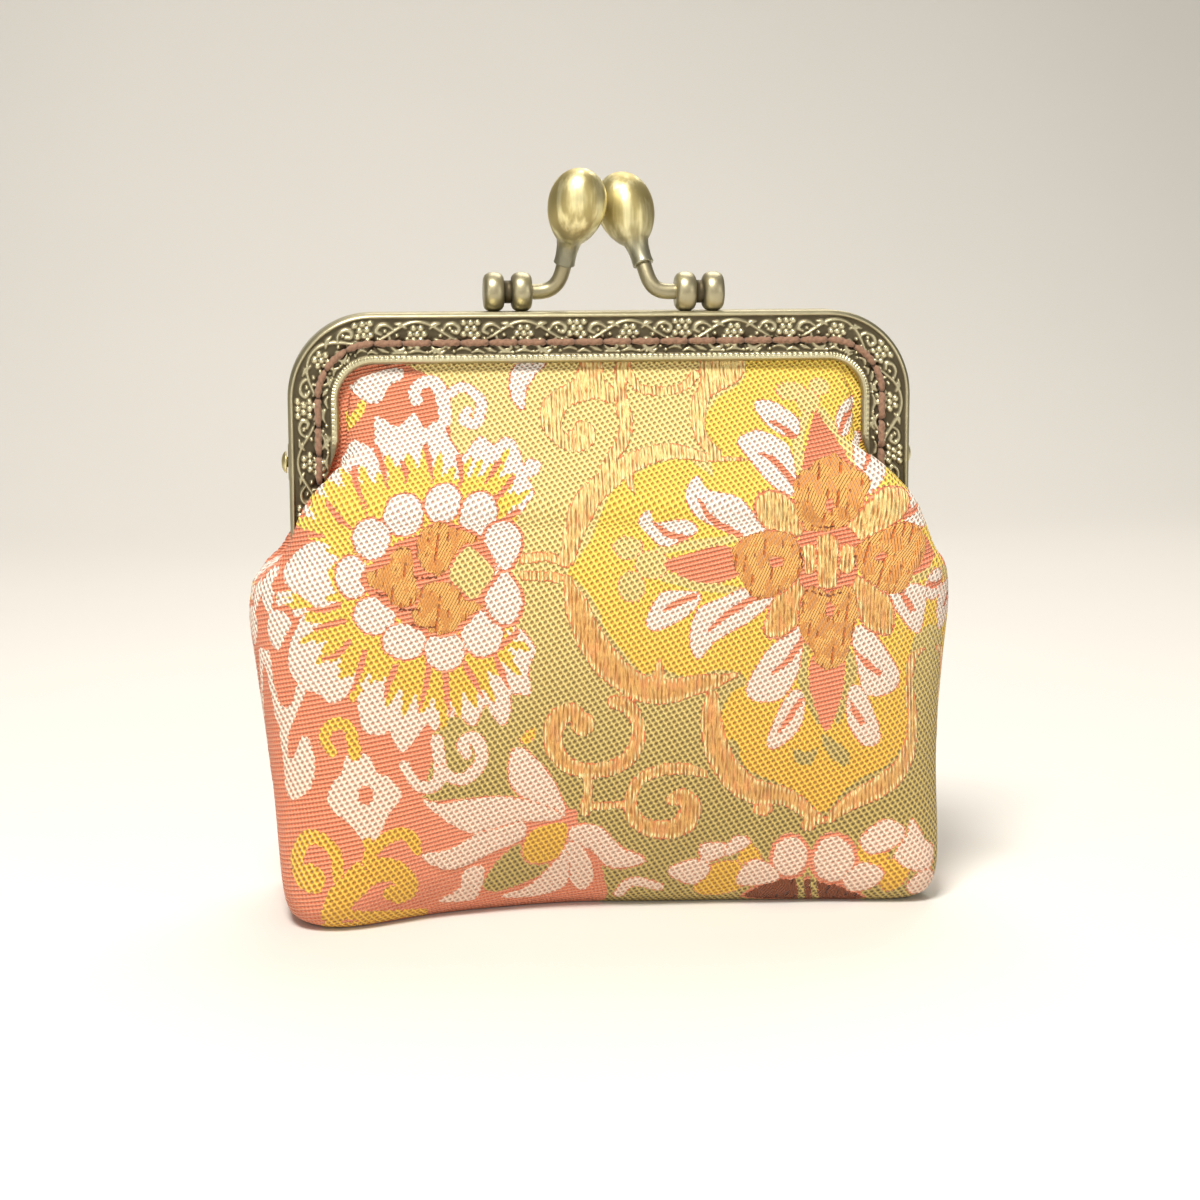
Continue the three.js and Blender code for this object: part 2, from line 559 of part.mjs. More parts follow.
// One panel as a closed wall of even thickness on both sides of its middle surface.
function panelGeometry(folds) {
  const rows = foldCloth([...TUCKED_ROWS.map(tuckedRow), ...CLOTH_SECTIONS.map(clothSection)], folds);
  const normals = clothNormals(rows);
  const columns = CLOTH_COLUMNS + 1;
  const layer = (side) => rows.flatMap((row, r) => row.map((point, c) => {
    const moved = point.clone().addScaledVector(normals[r][c], (side * CLOTH) / 2);
    return moved.setZ(Math.max(moved.z, 0));
  }));
  const vertices = [...layer(1), ...layer(-1)];
  const inner = rows.length * columns;
  const index = [];
  const quad = (a, b, c, d) => index.push(a, b, c, a, c, d);
  const at = (r, c) => r * columns + c;
  for (let r = 0; r + 1 < rows.length; r += 1) {
    for (let c = 0; c < CLOTH_COLUMNS; c += 1) {
      quad(at(r, c), at(r + 1, c), at(r + 1, c + 1), at(r, c + 1));
      quad(inner + at(r, c), inner + at(r, c + 1), inner + at(r + 1, c + 1), inner + at(r + 1, c));
    }
    const end = CLOTH_COLUMNS;
    quad(at(r, 0), inner + at(r, 0), inner + at(r + 1, 0), at(r + 1, 0));
    quad(at(r, end), at(r + 1, end), inner + at(r + 1, end), inner + at(r, end));
  }
  const foot = rows.length - 1;
  for (let c = 0; c < CLOTH_COLUMNS; c += 1) {
    quad(at(0, c), at(0, c + 1), inner + at(0, c + 1), inner + at(0, c));
    quad(at(foot, c), inner + at(foot, c), inner + at(foot, c + 1), at(foot, c + 1));
  }
  const geometry = new THREE.BufferGeometry();
  const positions = vertices.flatMap((v) => [v.x, v.y, v.z]);
  geometry.setAttribute("position", new THREE.Float32BufferAttribute(positions, 3));
  geometry.setIndex(index);
  return geometry;
}

function namedMesh(name, geometry, material) {
  const mesh = new THREE.Mesh(geometry, material);
  mesh.name = name;
  return mesh;
}

function pouchHalf(side, folds) {
  const half = new THREE.Group();
  half.add(namedMesh(`${side}_frame`, frameHalf(CLASPS[side]), BRASS));
  half.add(namedMesh(`${side}_clasp_bead`, beadGeometry(CLASPS[side]), BRIGHT_BRASS));
  half.add(namedMesh(`${side}_panel`, panelGeometry(folds), BROCADE));
  return half;
}

const pouch = new THREE.Group();
const backHalf = pouchHalf("back", BACK_FOLDS);
backHalf.rotation.z = Math.PI;
pouch.add(pouchHalf("front", FRONT_FOLDS), backHalf);

for (const side of ["right", "left"]) {
  const rivet = namedMesh(`${side}_rivet`, rivetGeometry(), BRIGHT_BRASS);
  rivet.rotation.z = side === "left" ? Math.PI : 0;
  pouch.add(rivet);
}

export default pouch;
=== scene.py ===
"""A brocade coin pouch on an embossed clasp frame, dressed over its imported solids."""

from __future__ import annotations

import logging
import math
from dataclasses import dataclass, field
from enum import Enum
from typing import Sequence, Union

import bmesh
import bpy
import numpy as np
from mathutils import Matrix, Vector

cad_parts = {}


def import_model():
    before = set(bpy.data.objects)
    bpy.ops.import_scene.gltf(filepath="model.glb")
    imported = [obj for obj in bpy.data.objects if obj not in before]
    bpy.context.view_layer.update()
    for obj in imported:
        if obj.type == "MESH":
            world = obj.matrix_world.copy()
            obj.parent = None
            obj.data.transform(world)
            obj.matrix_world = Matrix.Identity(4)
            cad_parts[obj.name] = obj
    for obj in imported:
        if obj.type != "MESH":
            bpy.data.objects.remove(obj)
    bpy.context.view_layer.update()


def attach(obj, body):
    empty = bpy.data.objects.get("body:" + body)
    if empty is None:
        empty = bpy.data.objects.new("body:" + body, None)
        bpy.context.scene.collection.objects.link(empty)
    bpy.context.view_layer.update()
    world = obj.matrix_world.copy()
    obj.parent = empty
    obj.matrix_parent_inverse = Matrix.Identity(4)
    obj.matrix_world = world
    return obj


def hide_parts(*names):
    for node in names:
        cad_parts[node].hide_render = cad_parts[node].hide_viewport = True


LOG = logging.getLogger("pouch")
MM = 0.001
BODY = "root"

Point = tuple[float, float]
Triple = tuple[float, float, float]
Colour = tuple[float, float, float, float]
Socket = bpy.types.NodeSocket
Value = Union[float, Socket]


class Yarn(Enum):
    """Yarns of the brocade; coral is the ground that shows where no other yarn lies."""

    CORAL = "yarn_coral"
    OLIVE = "yarn_olive"
    YELLOW = "yarn_yellow"
    WHITE = "yarn_white"
    ORANGE = "yarn_orange"
    GOLD = "yarn_gold"
    BROWN = "yarn_brown"


class Half(Enum):
    """The two halves of the pouch, with the sense in which each reads the chart across."""

    FRONT = 1
    BACK = -1

    @property
    def label(self) -> str:
        """The half's name as it starts the names of its pieces."""
        return self.name.lower()

    def turned(self, places: np.ndarray) -> np.ndarray:
        """Turns places of the front half half way round the upright axis for the back half."""
        return places * np.array([self.value, self.value, 1.0])


# Small geometry helpers


def paint(red: int, green: int, blue: int) -> Colour:
    """Turns a colour as seen on screen into the linear colour that a shader takes.

    Args:
        red: Red from 0 to 255.
        green: Green from 0 to 255.
        blue: Blue from 0 to 255.

    Returns:
        The linear colour with full alpha.
    """
    seen = np.array([red, green, blue]) / 255.0
    linear = np.where(seen <= 0.04045, seen / 12.92, ((seen + 0.055) / 1.055) ** 2.4)
    return (float(linear[0]), float(linear[1]), float(linear[2]), 1.0)


def ease(value: np.ndarray, low: float, high: float) -> np.ndarray:
    """Rises smoothly from 0 at low to 1 at high."""
    share = np.clip((value - low) / (high - low), 0.0, 1.0)
    return share * share * (3.0 - 2.0 * share)


def even_curve(knots: np.ndarray, values: np.ndarray, at: np.ndarray) -> np.ndarray:
    """Draws a smooth curve through values that never swings past them.

    Args:
        knots: Rising places of the values.
        values: Values at the knots.
        at: Places to read the curve.

    Returns:
        The curve's values.
    """
    gaps = np.diff(knots)
    slopes = np.diff(values) / gaps
    rates = np.zeros_like(values)
    same = slopes[:-1] * slopes[1:] > 0
    before = 2 * gaps[1:] + gaps[:-1]
    after = gaps[1:] + 2 * gaps[:-1]
    safe = np.where(same, slopes[:-1] * slopes[1:], 1.0)
    mean = (before + after) * safe / (before * slopes[1:] + after * slopes[:-1] + 1e-12 * ~same)
    rates[1:-1] = np.where(same, mean, 0.0)
    rates[0] = slopes[0]
    rates[-1] = slopes[-1]
    index = np.clip(np.searchsorted(knots, at) - 1, 0, len(gaps) - 1)
    gap = gaps[index]
    t = np.clip((at - knots[index]) / gap, 0.0, 1.0)
    rise = 3 * t**2 - 2 * t**3
    start = t**3 - 2 * t**2 + t
    stop = t**3 - t**2
    held = values[index] * (1 - rise) + values[index + 1] * rise
    return held + gap * (rates[index] * start + rates[index + 1] * stop)


def smooth_line(points: Sequence[Point], closed: bool, steps: int = 4) -> np.ndarray:
    """Draws a smooth line through points.

    Args:
        points: Points that the line passes.
        closed: Whether the line comes back to its start.
        steps: Parts between two points.

    Returns:
        Points of the line, one row each.
    """
    knots = np.array(points, dtype=float)
    if closed:
        padded = np.vstack([knots[-1:], knots, knots[:2]])
    else:
        padded = np.vstack([2 * knots[0] - knots[1], knots, 2 * knots[-1] - knots[-2]])
    a, b, c, d = padded[:-3], padded[1:-2], padded[2:-1], padded[3:]
    t = np.linspace(0.0, 1.0, steps, endpoint=False)[None, :, None]
    a, b, c, d = a[:, None], b[:, None], c[:, None], d[:, None]
    curve = b + 0.5 * t * (c - a + t * (2 * a - 5 * b + 4 * c - d + t * (3 * (b - c) + d - a)))
    line = curve.reshape(-1, knots.shape[1])
    return line if closed else np.vstack([line, knots[-1:]])


def gap_to_line(spots: np.ndarray, line: np.ndarray, halves: np.ndarray) -> np.ndarray:
    """Measures how far spots are from the edge of a band along a line.

    Args:
        spots: Spots in the plane, one row each.
        line: Points of the line.
        halves: Half of the band's width at each point.

    Returns:
        Distances, below zero inside the band.
    """
    start, way = line[:-1], np.diff(line, axis=0)
    reach = (way**2).sum(1) + 1e-9
    from_start = spots[:, None, :] - start[None]
    share = np.clip((from_start * way).sum(2) / reach, 0.0, 1.0)
    away = from_start - share[..., None] * way
    width = halves[:-1] + share * np.diff(halves)
    return (np.sqrt((away**2).sum(2)) - width).min(1)


def inside_ring(spots: np.ndarray, ring: np.ndarray) -> np.ndarray:
    """Tells which spots lie inside a closed ring of points.

    Args:
        spots: Spots in the plane, one row each.
        ring: Points of the ring, without the first one repeated.

    Returns:
        True for each spot inside.
    """
    after = np.roll(ring, -1, axis=0)
    level = spots[:, 1, None]
    passes = (ring[None, :, 1] > level) != (after[None, :, 1] > level)
    slope = (after[:, 0] - ring[:, 0]) / (after[:, 1] - ring[:, 1] + 1e-12)
    crossing = ring[:, 0] + (level - ring[:, 1]) * slope
    return (passes & (spots[:, 0, None] < crossing)).sum(1) % 2 == 1


def path_lengths(across: np.ndarray, along: np.ndarray) -> np.ndarray:
    """Lengths of a path in the plane from its start to each of its points."""
    return np.concatenate([[0.0], np.cumsum(np.hypot(np.diff(across), np.diff(along)))])


def laid_mesh(name: str, places: np.ndarray) -> bpy.types.Mesh:
    """Lays a grid of faces onto places in space.

    Args:
        name: Name of the mesh.
        places: Places in millimetres, as rows by columns by three.

    Returns:
        The mesh, whose vertices run row by row.
    """
    rows, columns = places.shape[:2]
    grid = bmesh.new()
    bmesh.ops.create_grid(grid, x_segments=columns - 1, y_segments=rows - 1, size=1.0)
    mesh = bpy.data.meshes.new(name)
    grid.to_mesh(mesh)
    grid.free()
    mesh.vertices.foreach_set("co", (places * MM).astype(np.float32).reshape(-1))
    mesh.update()
    return mesh


def add_attribute(mesh: bpy.types.Mesh, name: str, values: np.ndarray) -> None:
    """Stores one number for each vertex of a mesh, under a name that a material reads."""
    layer = mesh.attributes.new(name, "FLOAT", "POINT")
    layer.data.foreach_set("value", values.astype(np.float32).reshape(-1))


def close_mesh(mesh: bpy.types.Mesh) -> None:
    """Welds a mesh's meeting edges, caps its open ends and turns its faces outwards."""
    shell = bmesh.new()
    shell.from_mesh(mesh)
    bmesh.ops.remove_doubles(shell, verts=shell.verts, dist=1e-7)
    rims = [edge for edge in shell.edges if edge.is_boundary]
    bmesh.ops.holes_fill(shell, edges=rims, sides=0)
    bmesh.ops.recalc_face_normals(shell, faces=shell.faces)
    shell.to_mesh(mesh)
    shell.free()


def tube_places(line: np.ndarray, radii: np.ndarray, sides: int) -> np.ndarray:
    """Wraps a round section along a line.

    Args:
        line: Points of the middle of the tube.
        radii: Radius at each point, or a table of points by sides.
        sides: Corners of the section.

    Returns:
        Places as points by sides plus one, the last column over the first.
    """
    way = np.gradient(line, axis=0)
    way /= np.linalg.norm(way, axis=1, keepdims=True)
    side = np.cross(way, np.array([0.0, 1.0, 0.0]))
    side /= np.linalg.norm(side, axis=1, keepdims=True)
    over = np.cross(side, way)
    angle = np.linspace(0.0, 2 * math.pi, sides + 1)
    angle[-1] = 0.0
    radii = np.asarray(radii, dtype=float)
    spread = radii[:, None] if radii.ndim == 1 else np.hstack([radii, radii[:, :1]])
    ring = np.cos(angle)[None, :, None] * side[:, None] + np.sin(angle)[None, :, None] * over[:, None]
    return line[:, None] + spread[..., None] * ring


def spun_mesh(name: str, profile: Sequence[Point], sides: int, turn: Matrix) -> bpy.types.Mesh:
    """Spins a profile about the upright axis and puts it in its place.

    Args:
        name: Name of the mesh.
        profile: Radius and height of each point in millimetres, from foot to top.
        sides: Steps round the axis.
        turn: Where the spun shape goes, in millimetres.

    Returns:
        The closed mesh.
    """
    shape = bmesh.new()
    points = [shape.verts.new((radius, 0.0, height)) for radius, height in profile]
    edges = [shape.edges.new(pair) for pair in zip(points, points[1:])]
    bmesh.ops.spin(
        shape, geom=points + edges, cent=(0, 0, 0), axis=(0, 0, 1),
        angle=2 * math.pi, steps=sides, use_merge=True,
    )
    bmesh.ops.remove_doubles(shape, verts=shape.verts, dist=1e-4)
    bmesh.ops.recalc_face_normals(shape, faces=shape.faces)
    bmesh.ops.transform(shape, matrix=Matrix.Scale(MM, 4) @ turn, verts=shape.verts)
    mesh = bpy.data.meshes.new(name)
    shape.to_mesh(mesh)
    shape.free()
    return mesh


def joined_mesh(name: str, parts: Sequence[bpy.types.Mesh]) -> bpy.types.Mesh:
    """Puts several meshes into one.

    Args:
        name: Name of the whole mesh.
        parts: Meshes that are taken up and removed.

    Returns:
        The whole mesh.
    """
    whole = bmesh.new()
    for part in parts:
        whole.from_mesh(part)
        bpy.data.meshes.remove(part)
    mesh = bpy.data.meshes.new(name)
    whole.to_mesh(mesh)
    whole.free()
    return mesh


def add_piece(
    mesh: bpy.types.Mesh, material: bpy.types.Material, slot: str, *nodes: str
) -> bpy.types.Object:
    """Shows a mesh as a piece of the pouch.

    Args:
        mesh: The mesh, named as the piece.
        material: Its finish.
        slot: The record's material slot; not used.
        nodes: Solids that the piece stands for.

    Returns:
        The piece.
    """
    mesh.shade_smooth()
    mesh.materials.append(material)
    piece = bpy.data.objects.new(mesh.name, mesh)
    bpy.context.scene.collection.objects.link(piece)
    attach(piece, BODY)
    if nodes:
        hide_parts(*nodes)
    LOG.info("%s: %d faces", piece.name, len(mesh.polygons))
    return piece


# Shapes of the brocade's chart, in pixels of the 1200 by 1200 photograph


@dataclass(frozen=True)
class Patch:
    """An area of one yarn inside a smooth closed outline, in pixels of the photograph."""

    yarn: Yarn
    outline: tuple[Point, ...]
    rim: float = 0.0

    def line(self) -> np.ndarray:
        """The closed outline as points, without the first one repeated."""
        return smooth_line(self.outline, closed=True)

    def distance(self, spots: np.ndarray) -> np.ndarray:
        """Distance of spots from the outline, below zero inside."""
        ring = self.line()
        loop = np.vstack([ring, ring[:1]])
        edge = gap_to_line(spots, loop, np.zeros(len(loop)))
        return np.where(inside_ring(spots, ring), -edge, edge)


@dataclass(frozen=True)
class Stroke:
    """A line of one yarn with a width that changes along it, in pixels of the photograph."""

    yarn: Yarn
    route: tuple[Point, ...]
    halves: tuple[float, ...]
    rim: float = 0.0

    def line(self) -> np.ndarray:
        """The route as points."""
        return smooth_line(self.route, closed=False)

    def distance(self, spots: np.ndarray) -> np.ndarray:
        """Distance of spots from the line's edge, below zero inside."""
        line = self.line()
        share = np.linspace(0.0, 1.0, len(line))
        halves = np.interp(share, np.linspace(0.0, 1.0, len(self.halves)), self.halves)
        return gap_to_line(spots, line, halves)


@dataclass(frozen=True)
class Spot:
    """An oval of one yarn, in pixels of the photograph."""

    yarn: Yarn
    middle: Point
    radii: Point
    rim: float = 0.0

    def line(self) -> np.ndarray:
        """Two corners of the oval's box."""
        return np.array([np.subtract(self.middle, self.radii), np.add(self.middle, self.radii)])

    def distance(self, spots: np.ndarray) -> np.ndarray:
        """Distance of spots from the oval, below zero inside."""
        scaled = (spots - np.array(self.middle)) / np.array(self.radii)
        return (np.sqrt((scaled**2).sum(1)) - 1.0) * min(self.radii)


Shape = Union[Patch, Stroke, Spot]


def paired(numbers: Sequence[float]) -> tuple[Point, ...]:
    """Takes numbers two by two, as pixels across and down of one point after another."""
    return tuple(zip(numbers[::2], numbers[1::2]))


def patches(yarn: Yarn, rim: float, *outlines: Sequence[float]) -> list[Shape]:
    """Several areas of one yarn with the same rim, each as the numbers of its outline."""
    return [Patch(yarn, paired(outline), rim) for outline in outlines]


def strokes(yarn: Yarn, rim: float, *bands: tuple[Sequence[float], tuple[float, ...]]) -> list[Shape]:
    """Several lines of one yarn with the same rim, each as its route's numbers and its half widths."""
    return [Stroke(yarn, paired(route), halves, rim) for route, halves in bands]


def ovals(yarn: Yarn, rim: float, *spots: tuple[float, float, float, float]) -> list[Shape]:
    """Several ovals of one yarn with the same rim, each as its middle and its radii."""
    return [Spot(yarn, (x, y), (across, down), rim) for x, y, across, down in spots]


def lines(yarn: Yarn, half: float, *routes: Sequence[float]) -> list[Shape]:
    """Several thin lines of one yarn and one width, narrower at their ends."""
    return [Stroke(yarn, paired(route), (half, half, half * 0.5)) for route in routes]


def between(start: Point, stop: Point, share: float) -> Point:
    """The point at a share of the way from one point to another."""
    return (start[0] + (stop[0] - start[0]) * share, start[1] + (stop[1] - start[1]) * share)


def ring_shapes(ring: Sequence[Point], heart: Point) -> list[Shape]:
    """Yellow tongues that reach from a flower's ring into its petals, and white notches between them.

    Args:
        ring: Outline of the yellow ring.
        heart: Middle of the flower.

    Returns:
        The tongues, then the notches.
    """
    tongue, swing, turn = 12.0, 6.0, 2.4
    bare_right, bare_top, bare_foot = 340, 535, 620
    notch_start, notch_depth, notch_count = -0.04, 0.10, 39
    shapes: list[Shape] = []
    for index, corner in enumerate(ring):
        if corner[0] < bare_right and bare_top < corner[1] < bare_foot:
            continue
        reach = (tongue + swing * math.sin(turn * index)) / math.dist(corner, heart)
        root, tip = between(corner, heart, reach), between(corner, heart, -reach)
        shapes.append(Stroke(Yarn.YELLOW, (root, between(corner, tip, 0.5), tip), (4.5, 3.5, 0.8)))
    for corner, after in zip(ring, ring[1:notch_count + 1]):
        start = between(between(corner, after, 0.5), heart, notch_start)
        stop = between(start, heart, notch_depth)
        shapes.append(Stroke(Yarn.WHITE, (start, between(start, stop, 0.5), stop), (2.2, 1.6, 0.5)))
    return shapes


def ground_shapes() -> list[Shape]:
    """The olive and yellow grounds beside the coral one."""
    olive = (
        435, 330, 1000, 330, 1000, 1000, 590, 1000, 570, 850, 560, 815, 490, 806, 424, 800, 425, 775,
        432, 750, 430, 735, 440, 640, 447, 440, 443, 420, 437, 380,
    )
    ogee = (
        567, 574, 590, 545, 602, 515, 615, 490, 640, 472, 660, 464, 682, 462, 700, 474, 712, 480,
        706, 455, 704, 440, 705, 420, 712, 405, 722, 394, 740, 384, 750, 370, 758, 330, 990, 330,
        990, 600, 960, 625, 925, 640, 916, 680, 917, 720, 905, 750, 885, 768, 858, 780, 838, 797,
        826, 812, 815, 806, 800, 793, 780, 782, 757, 773, 742, 762, 736, 740, 722, 735, 721, 710,
        730, 692, 745, 684, 738, 672, 712, 668, 695, 674, 680, 674, 665, 668, 655, 662, 645, 672,
        632, 664, 622, 651, 612, 640, 602, 625, 596, 608, 588, 594, 578, 583,
    )
    return patches(Yarn.OLIVE, 0.0, olive) + patches(Yarn.YELLOW, 0.0, ogee)


def gold_shapes() -> list[Shape]:
    """Gold bands round the ogee, the stems that carry them and their spirals."""
    bands = strokes(
        Yarn.GOLD, 0.0,
        ((566, 562, 575, 530, 585, 505, 602, 485, 620, 468, 640, 458, 665, 452, 685, 455, 705, 460,
          745, 462), (7, 13, 13, 11, 9, 6, 1)),
        ((622, 470, 627, 485, 632, 497), (6, 4, 1)),
        ((522, 561, 545, 559, 566, 566), (5, 5, 4)),
        ((522, 577, 545, 578, 566, 580), (5, 5, 4)),
        ((566, 585, 574, 605, 582, 628, 596, 652, 614, 672, 638, 687, 665, 690, 690, 684, 712, 680,
          738, 673), (5, 12, 14, 15, 14, 13, 11, 8, 1)),
        ((655, 680, 656, 668, 657, 658), (7, 5, 1)),
        ((709, 696, 709, 725, 717, 754, 734, 778, 756, 792, 780, 795, 797, 803, 812, 815,
          825, 822), (7, 12, 13, 14, 13, 10, 9, 7, 3)),
    )
    bands += ovals(Yarn.GOLD, 0.0, (763, 810, 10, 7), (810, 826, 8, 6))
    bands += strokes(
        Yarn.GOLD, 0.0,
        ((938, 655, 922, 662, 918, 685, 919, 705, 920, 730, 914, 755, 900, 775, 880, 789, 860, 798,
          843, 808, 830, 820), (2, 5, 5, 6, 7, 9, 11, 10, 8, 4)),
    )
    stems = strokes(
        Yarn.GOLD, 0.0,
        ((625, 350, 619, 385, 622, 420, 618, 440, 608, 455, 600, 470), (7, 7, 6)),
        ((628, 365, 637, 384, 650, 388, 668, 388, 684, 384, 698, 370), (5, 5, 5)),
        ((716, 350, 708, 385, 699, 400, 696, 420, 700, 440, 712, 455), (8, 8, 6)),
    )
    stems += patches(
        Yarn.GOLD, 0.0,
        (705, 345, 750, 345, 746, 372, 732, 384, 716, 392, 704, 392),
        (575, 376, 584, 345, 600, 345, 602, 384, 584, 388),
    )
    spirals = strokes(
        Yarn.GOLD, 0.0,
        ((608, 392, 595, 385, 580, 386, 565, 393, 552, 402, 547, 415, 549, 428, 557, 439, 569, 443,
          580, 439, 583, 430, 576, 425), (9, 12, 13, 11, 12, 12, 10, 8, 9, 9, 8, 6)),
    )
    spirals += ovals(Yarn.GOLD, 0.0, (575, 435, 12, 10))
    spirals += strokes(
        Yarn.GOLD, 0.0,
        ((579, 722, 567, 709, 553, 718, 549, 738, 556, 756, 573, 767, 596, 769, 616, 763, 630, 750,
          635, 733, 632, 716, 622, 704, 611, 700), (9, 9, 11, 10, 9, 8, 8, 8, 8, 7, 7, 8, 7)),
    )
    spirals += ovals(Yarn.GOLD, 0.0, (579, 722, 12, 12))
    spirals += strokes(
        Yarn.GOLD, 0.0,
        ((703, 773, 685, 768, 662, 768, 643, 774, 632, 786, 628, 803, 634, 820, 650, 829, 670, 829,
          685, 821, 688, 806, 680, 796, 670, 799), (4, 6, 6, 6, 6, 7, 8, 9, 10, 12, 11, 9, 6)),
        ((585, 778, 584, 795, 582, 812), (5, 5, 5)),
        ((582, 805, 600, 806, 622, 804), (5, 4, 4)),
    )
    return bands + stems + spirals


def chrysanthemum_shapes() -> list[Shape]:
    """The large flower on the left: white petals on both sides of a yellow ring."""
    outer = (
        312, 512, 320, 482, 324, 462, 335, 455, 346, 441, 352, 440, 364, 448, 371, 450, 371, 440,
        372, 415, 378, 416, 390, 424, 396, 424, 406, 414, 411, 411, 415, 420, 420, 428, 430, 420,
        437, 423, 445, 440, 453, 455, 459, 455, 470, 440, 477, 436, 487, 446, 491, 443, 497, 438,
        503, 437, 509, 442, 513, 455, 516, 466, 521, 480, 530, 494, 529, 500, 520, 512, 508, 535,
        508, 605, 513, 630, 518, 630, 530, 645, 530, 652, 524, 668, 526, 690, 515, 690, 506, 692,
        506, 708, 499, 722, 490, 712, 482, 700, 470, 722, 455, 712, 440, 716, 432, 727, 425, 720,
        413, 735, 402, 748, 396, 745, 388, 728, 380, 732, 364, 730, 359, 710, 357, 690, 352, 685,
        342, 698, 330, 703, 318, 694, 303, 690, 291, 677, 288, 660, 296, 630, 310, 616, 322, 613,
        305, 600, 288, 590, 284, 578, 290, 566, 308, 550, 322, 545, 308, 536, 304, 524,
    )
    ring = (
        304, 528, 314, 505, 326, 488, 346, 482, 362, 476, 378, 482, 388, 470, 404, 460, 420, 458,
        434, 466, 447, 474, 460, 474, 472, 468, 484, 472, 495, 462, 506, 480, 516, 503, 507, 522,
        490, 540, 490, 600, 505, 628, 516, 642, 508, 662, 494, 668, 484, 684, 470, 696, 455, 704,
        440, 708, 420, 704, 405, 700, 390, 692, 372, 676, 360, 686, 345, 672, 325, 658, 314, 638,
        312, 620, 290, 610, 276, 603, 292, 596, 318, 610, 338, 608, 340, 598, 331, 582, 332, 572,
        344, 556, 326, 546, 312, 541,
    )
    petals = patches(Yarn.WHITE, 2.0, outer)
    petals += patches(
        Yarn.WHITE, 1.5,
        (519, 466, 524, 460, 534, 465, 530, 476, 520, 478),
        (257, 590, 268, 577, 275, 578, 268, 592, 270, 600, 265, 618, 255, 600),
        (266, 622, 276, 616, 290, 624, 283, 640, 274, 654, 264, 640),
    )
    petals += patches(Yarn.YELLOW, 0.0, ring)
    petals += ring_shapes(paired(ring), heart=(432.0, 575.0))
    veins = lines(
        Yarn.CORAL, 3.0,
        (371, 447, 378, 466, 387, 492), (398, 463, 402, 472, 404, 484), (420, 445, 424, 460, 430, 484),
        (349, 468, 356, 490, 370, 514), (329, 507, 343, 520, 358, 531), (306, 536, 316, 538, 328, 539),
        (453, 458, 456, 470, 458, 486), (493, 462, 488, 472, 482, 484), (508, 480, 498, 498, 490, 501),
        (517, 512, 508, 517, 500, 522), (514, 632, 505, 640, 497, 648), (492, 653, 498, 668, 506, 687),
        (427, 660, 425, 680, 417, 708), (395, 666, 388, 682, 384, 696), (462, 662, 470, 676, 480, 694),
        (365, 652, 360, 668, 353, 690), (345, 622, 330, 626, 313, 632), (350, 642, 336, 656, 322, 660),
        (297, 625, 290, 638, 284, 652), (340, 606, 325, 612, 308, 612), (443, 668, 444, 690, 447, 712),
    )
    inner = ovals(
        Yarn.WHITE, 3.0,
        (443, 504, 16, 17), (405, 517, 18, 19), (374, 540, 17, 20), (354, 579, 15, 19),
        (375, 616, 19, 17), (404, 641, 20, 16), (443, 650, 18, 18), (480, 633, 19, 21),
        (479, 516, 17, 20),
    )
    inner += patches(
        Yarn.WHITE, 4.5,
        (503, 522, 514, 526, 520, 542, 515, 558, 504, 571, 493, 560, 486, 545, 491, 528),
        (503, 575, 513, 586, 519, 602, 513, 618, 502, 623, 491, 616, 484, 600, 493, 586),
    )
    heart = patches(
        Yarn.CORAL, 0.0,
        (363, 576, 386, 556, 400, 543, 420, 536, 430, 524, 445, 520, 475, 532, 488, 548, 494, 575,
         484, 597, 472, 618, 445, 637, 412, 627, 388, 608, 366, 590),
    )
    heart += patches(
        Yarn.ORANGE, 0.0,
        (420, 552, 424, 536, 438, 525, 460, 532, 477, 541, 460, 547, 448, 566, 438, 575, 424, 567),
        (371, 576, 390, 569, 398, 552, 411, 553, 412, 574, 417, 595, 406, 607, 394, 602, 386, 590,
         374, 586),
        (423, 590, 440, 584, 456, 590, 462, 601, 478, 606, 460, 620, 443, 633, 420, 624, 413, 616,
         420, 605),
    )
    heart += patches(
        Yarn.OLIVE, 0.0,
        (450, 575, 459, 558, 470, 549, 482, 561, 492, 574, 482, 588, 472, 598, 461, 590),
    )
    dark = lines(
        Yarn.BROWN, 1.0,
        (376, 594, 384, 596, 392, 597), (397, 609, 408, 610, 420, 609), (410, 624, 422, 627, 434, 626),
        (416, 578, 430, 579, 444, 577), (398, 552, 404, 550, 412, 551),
    )
    return petals + veins + inner + heart + dark


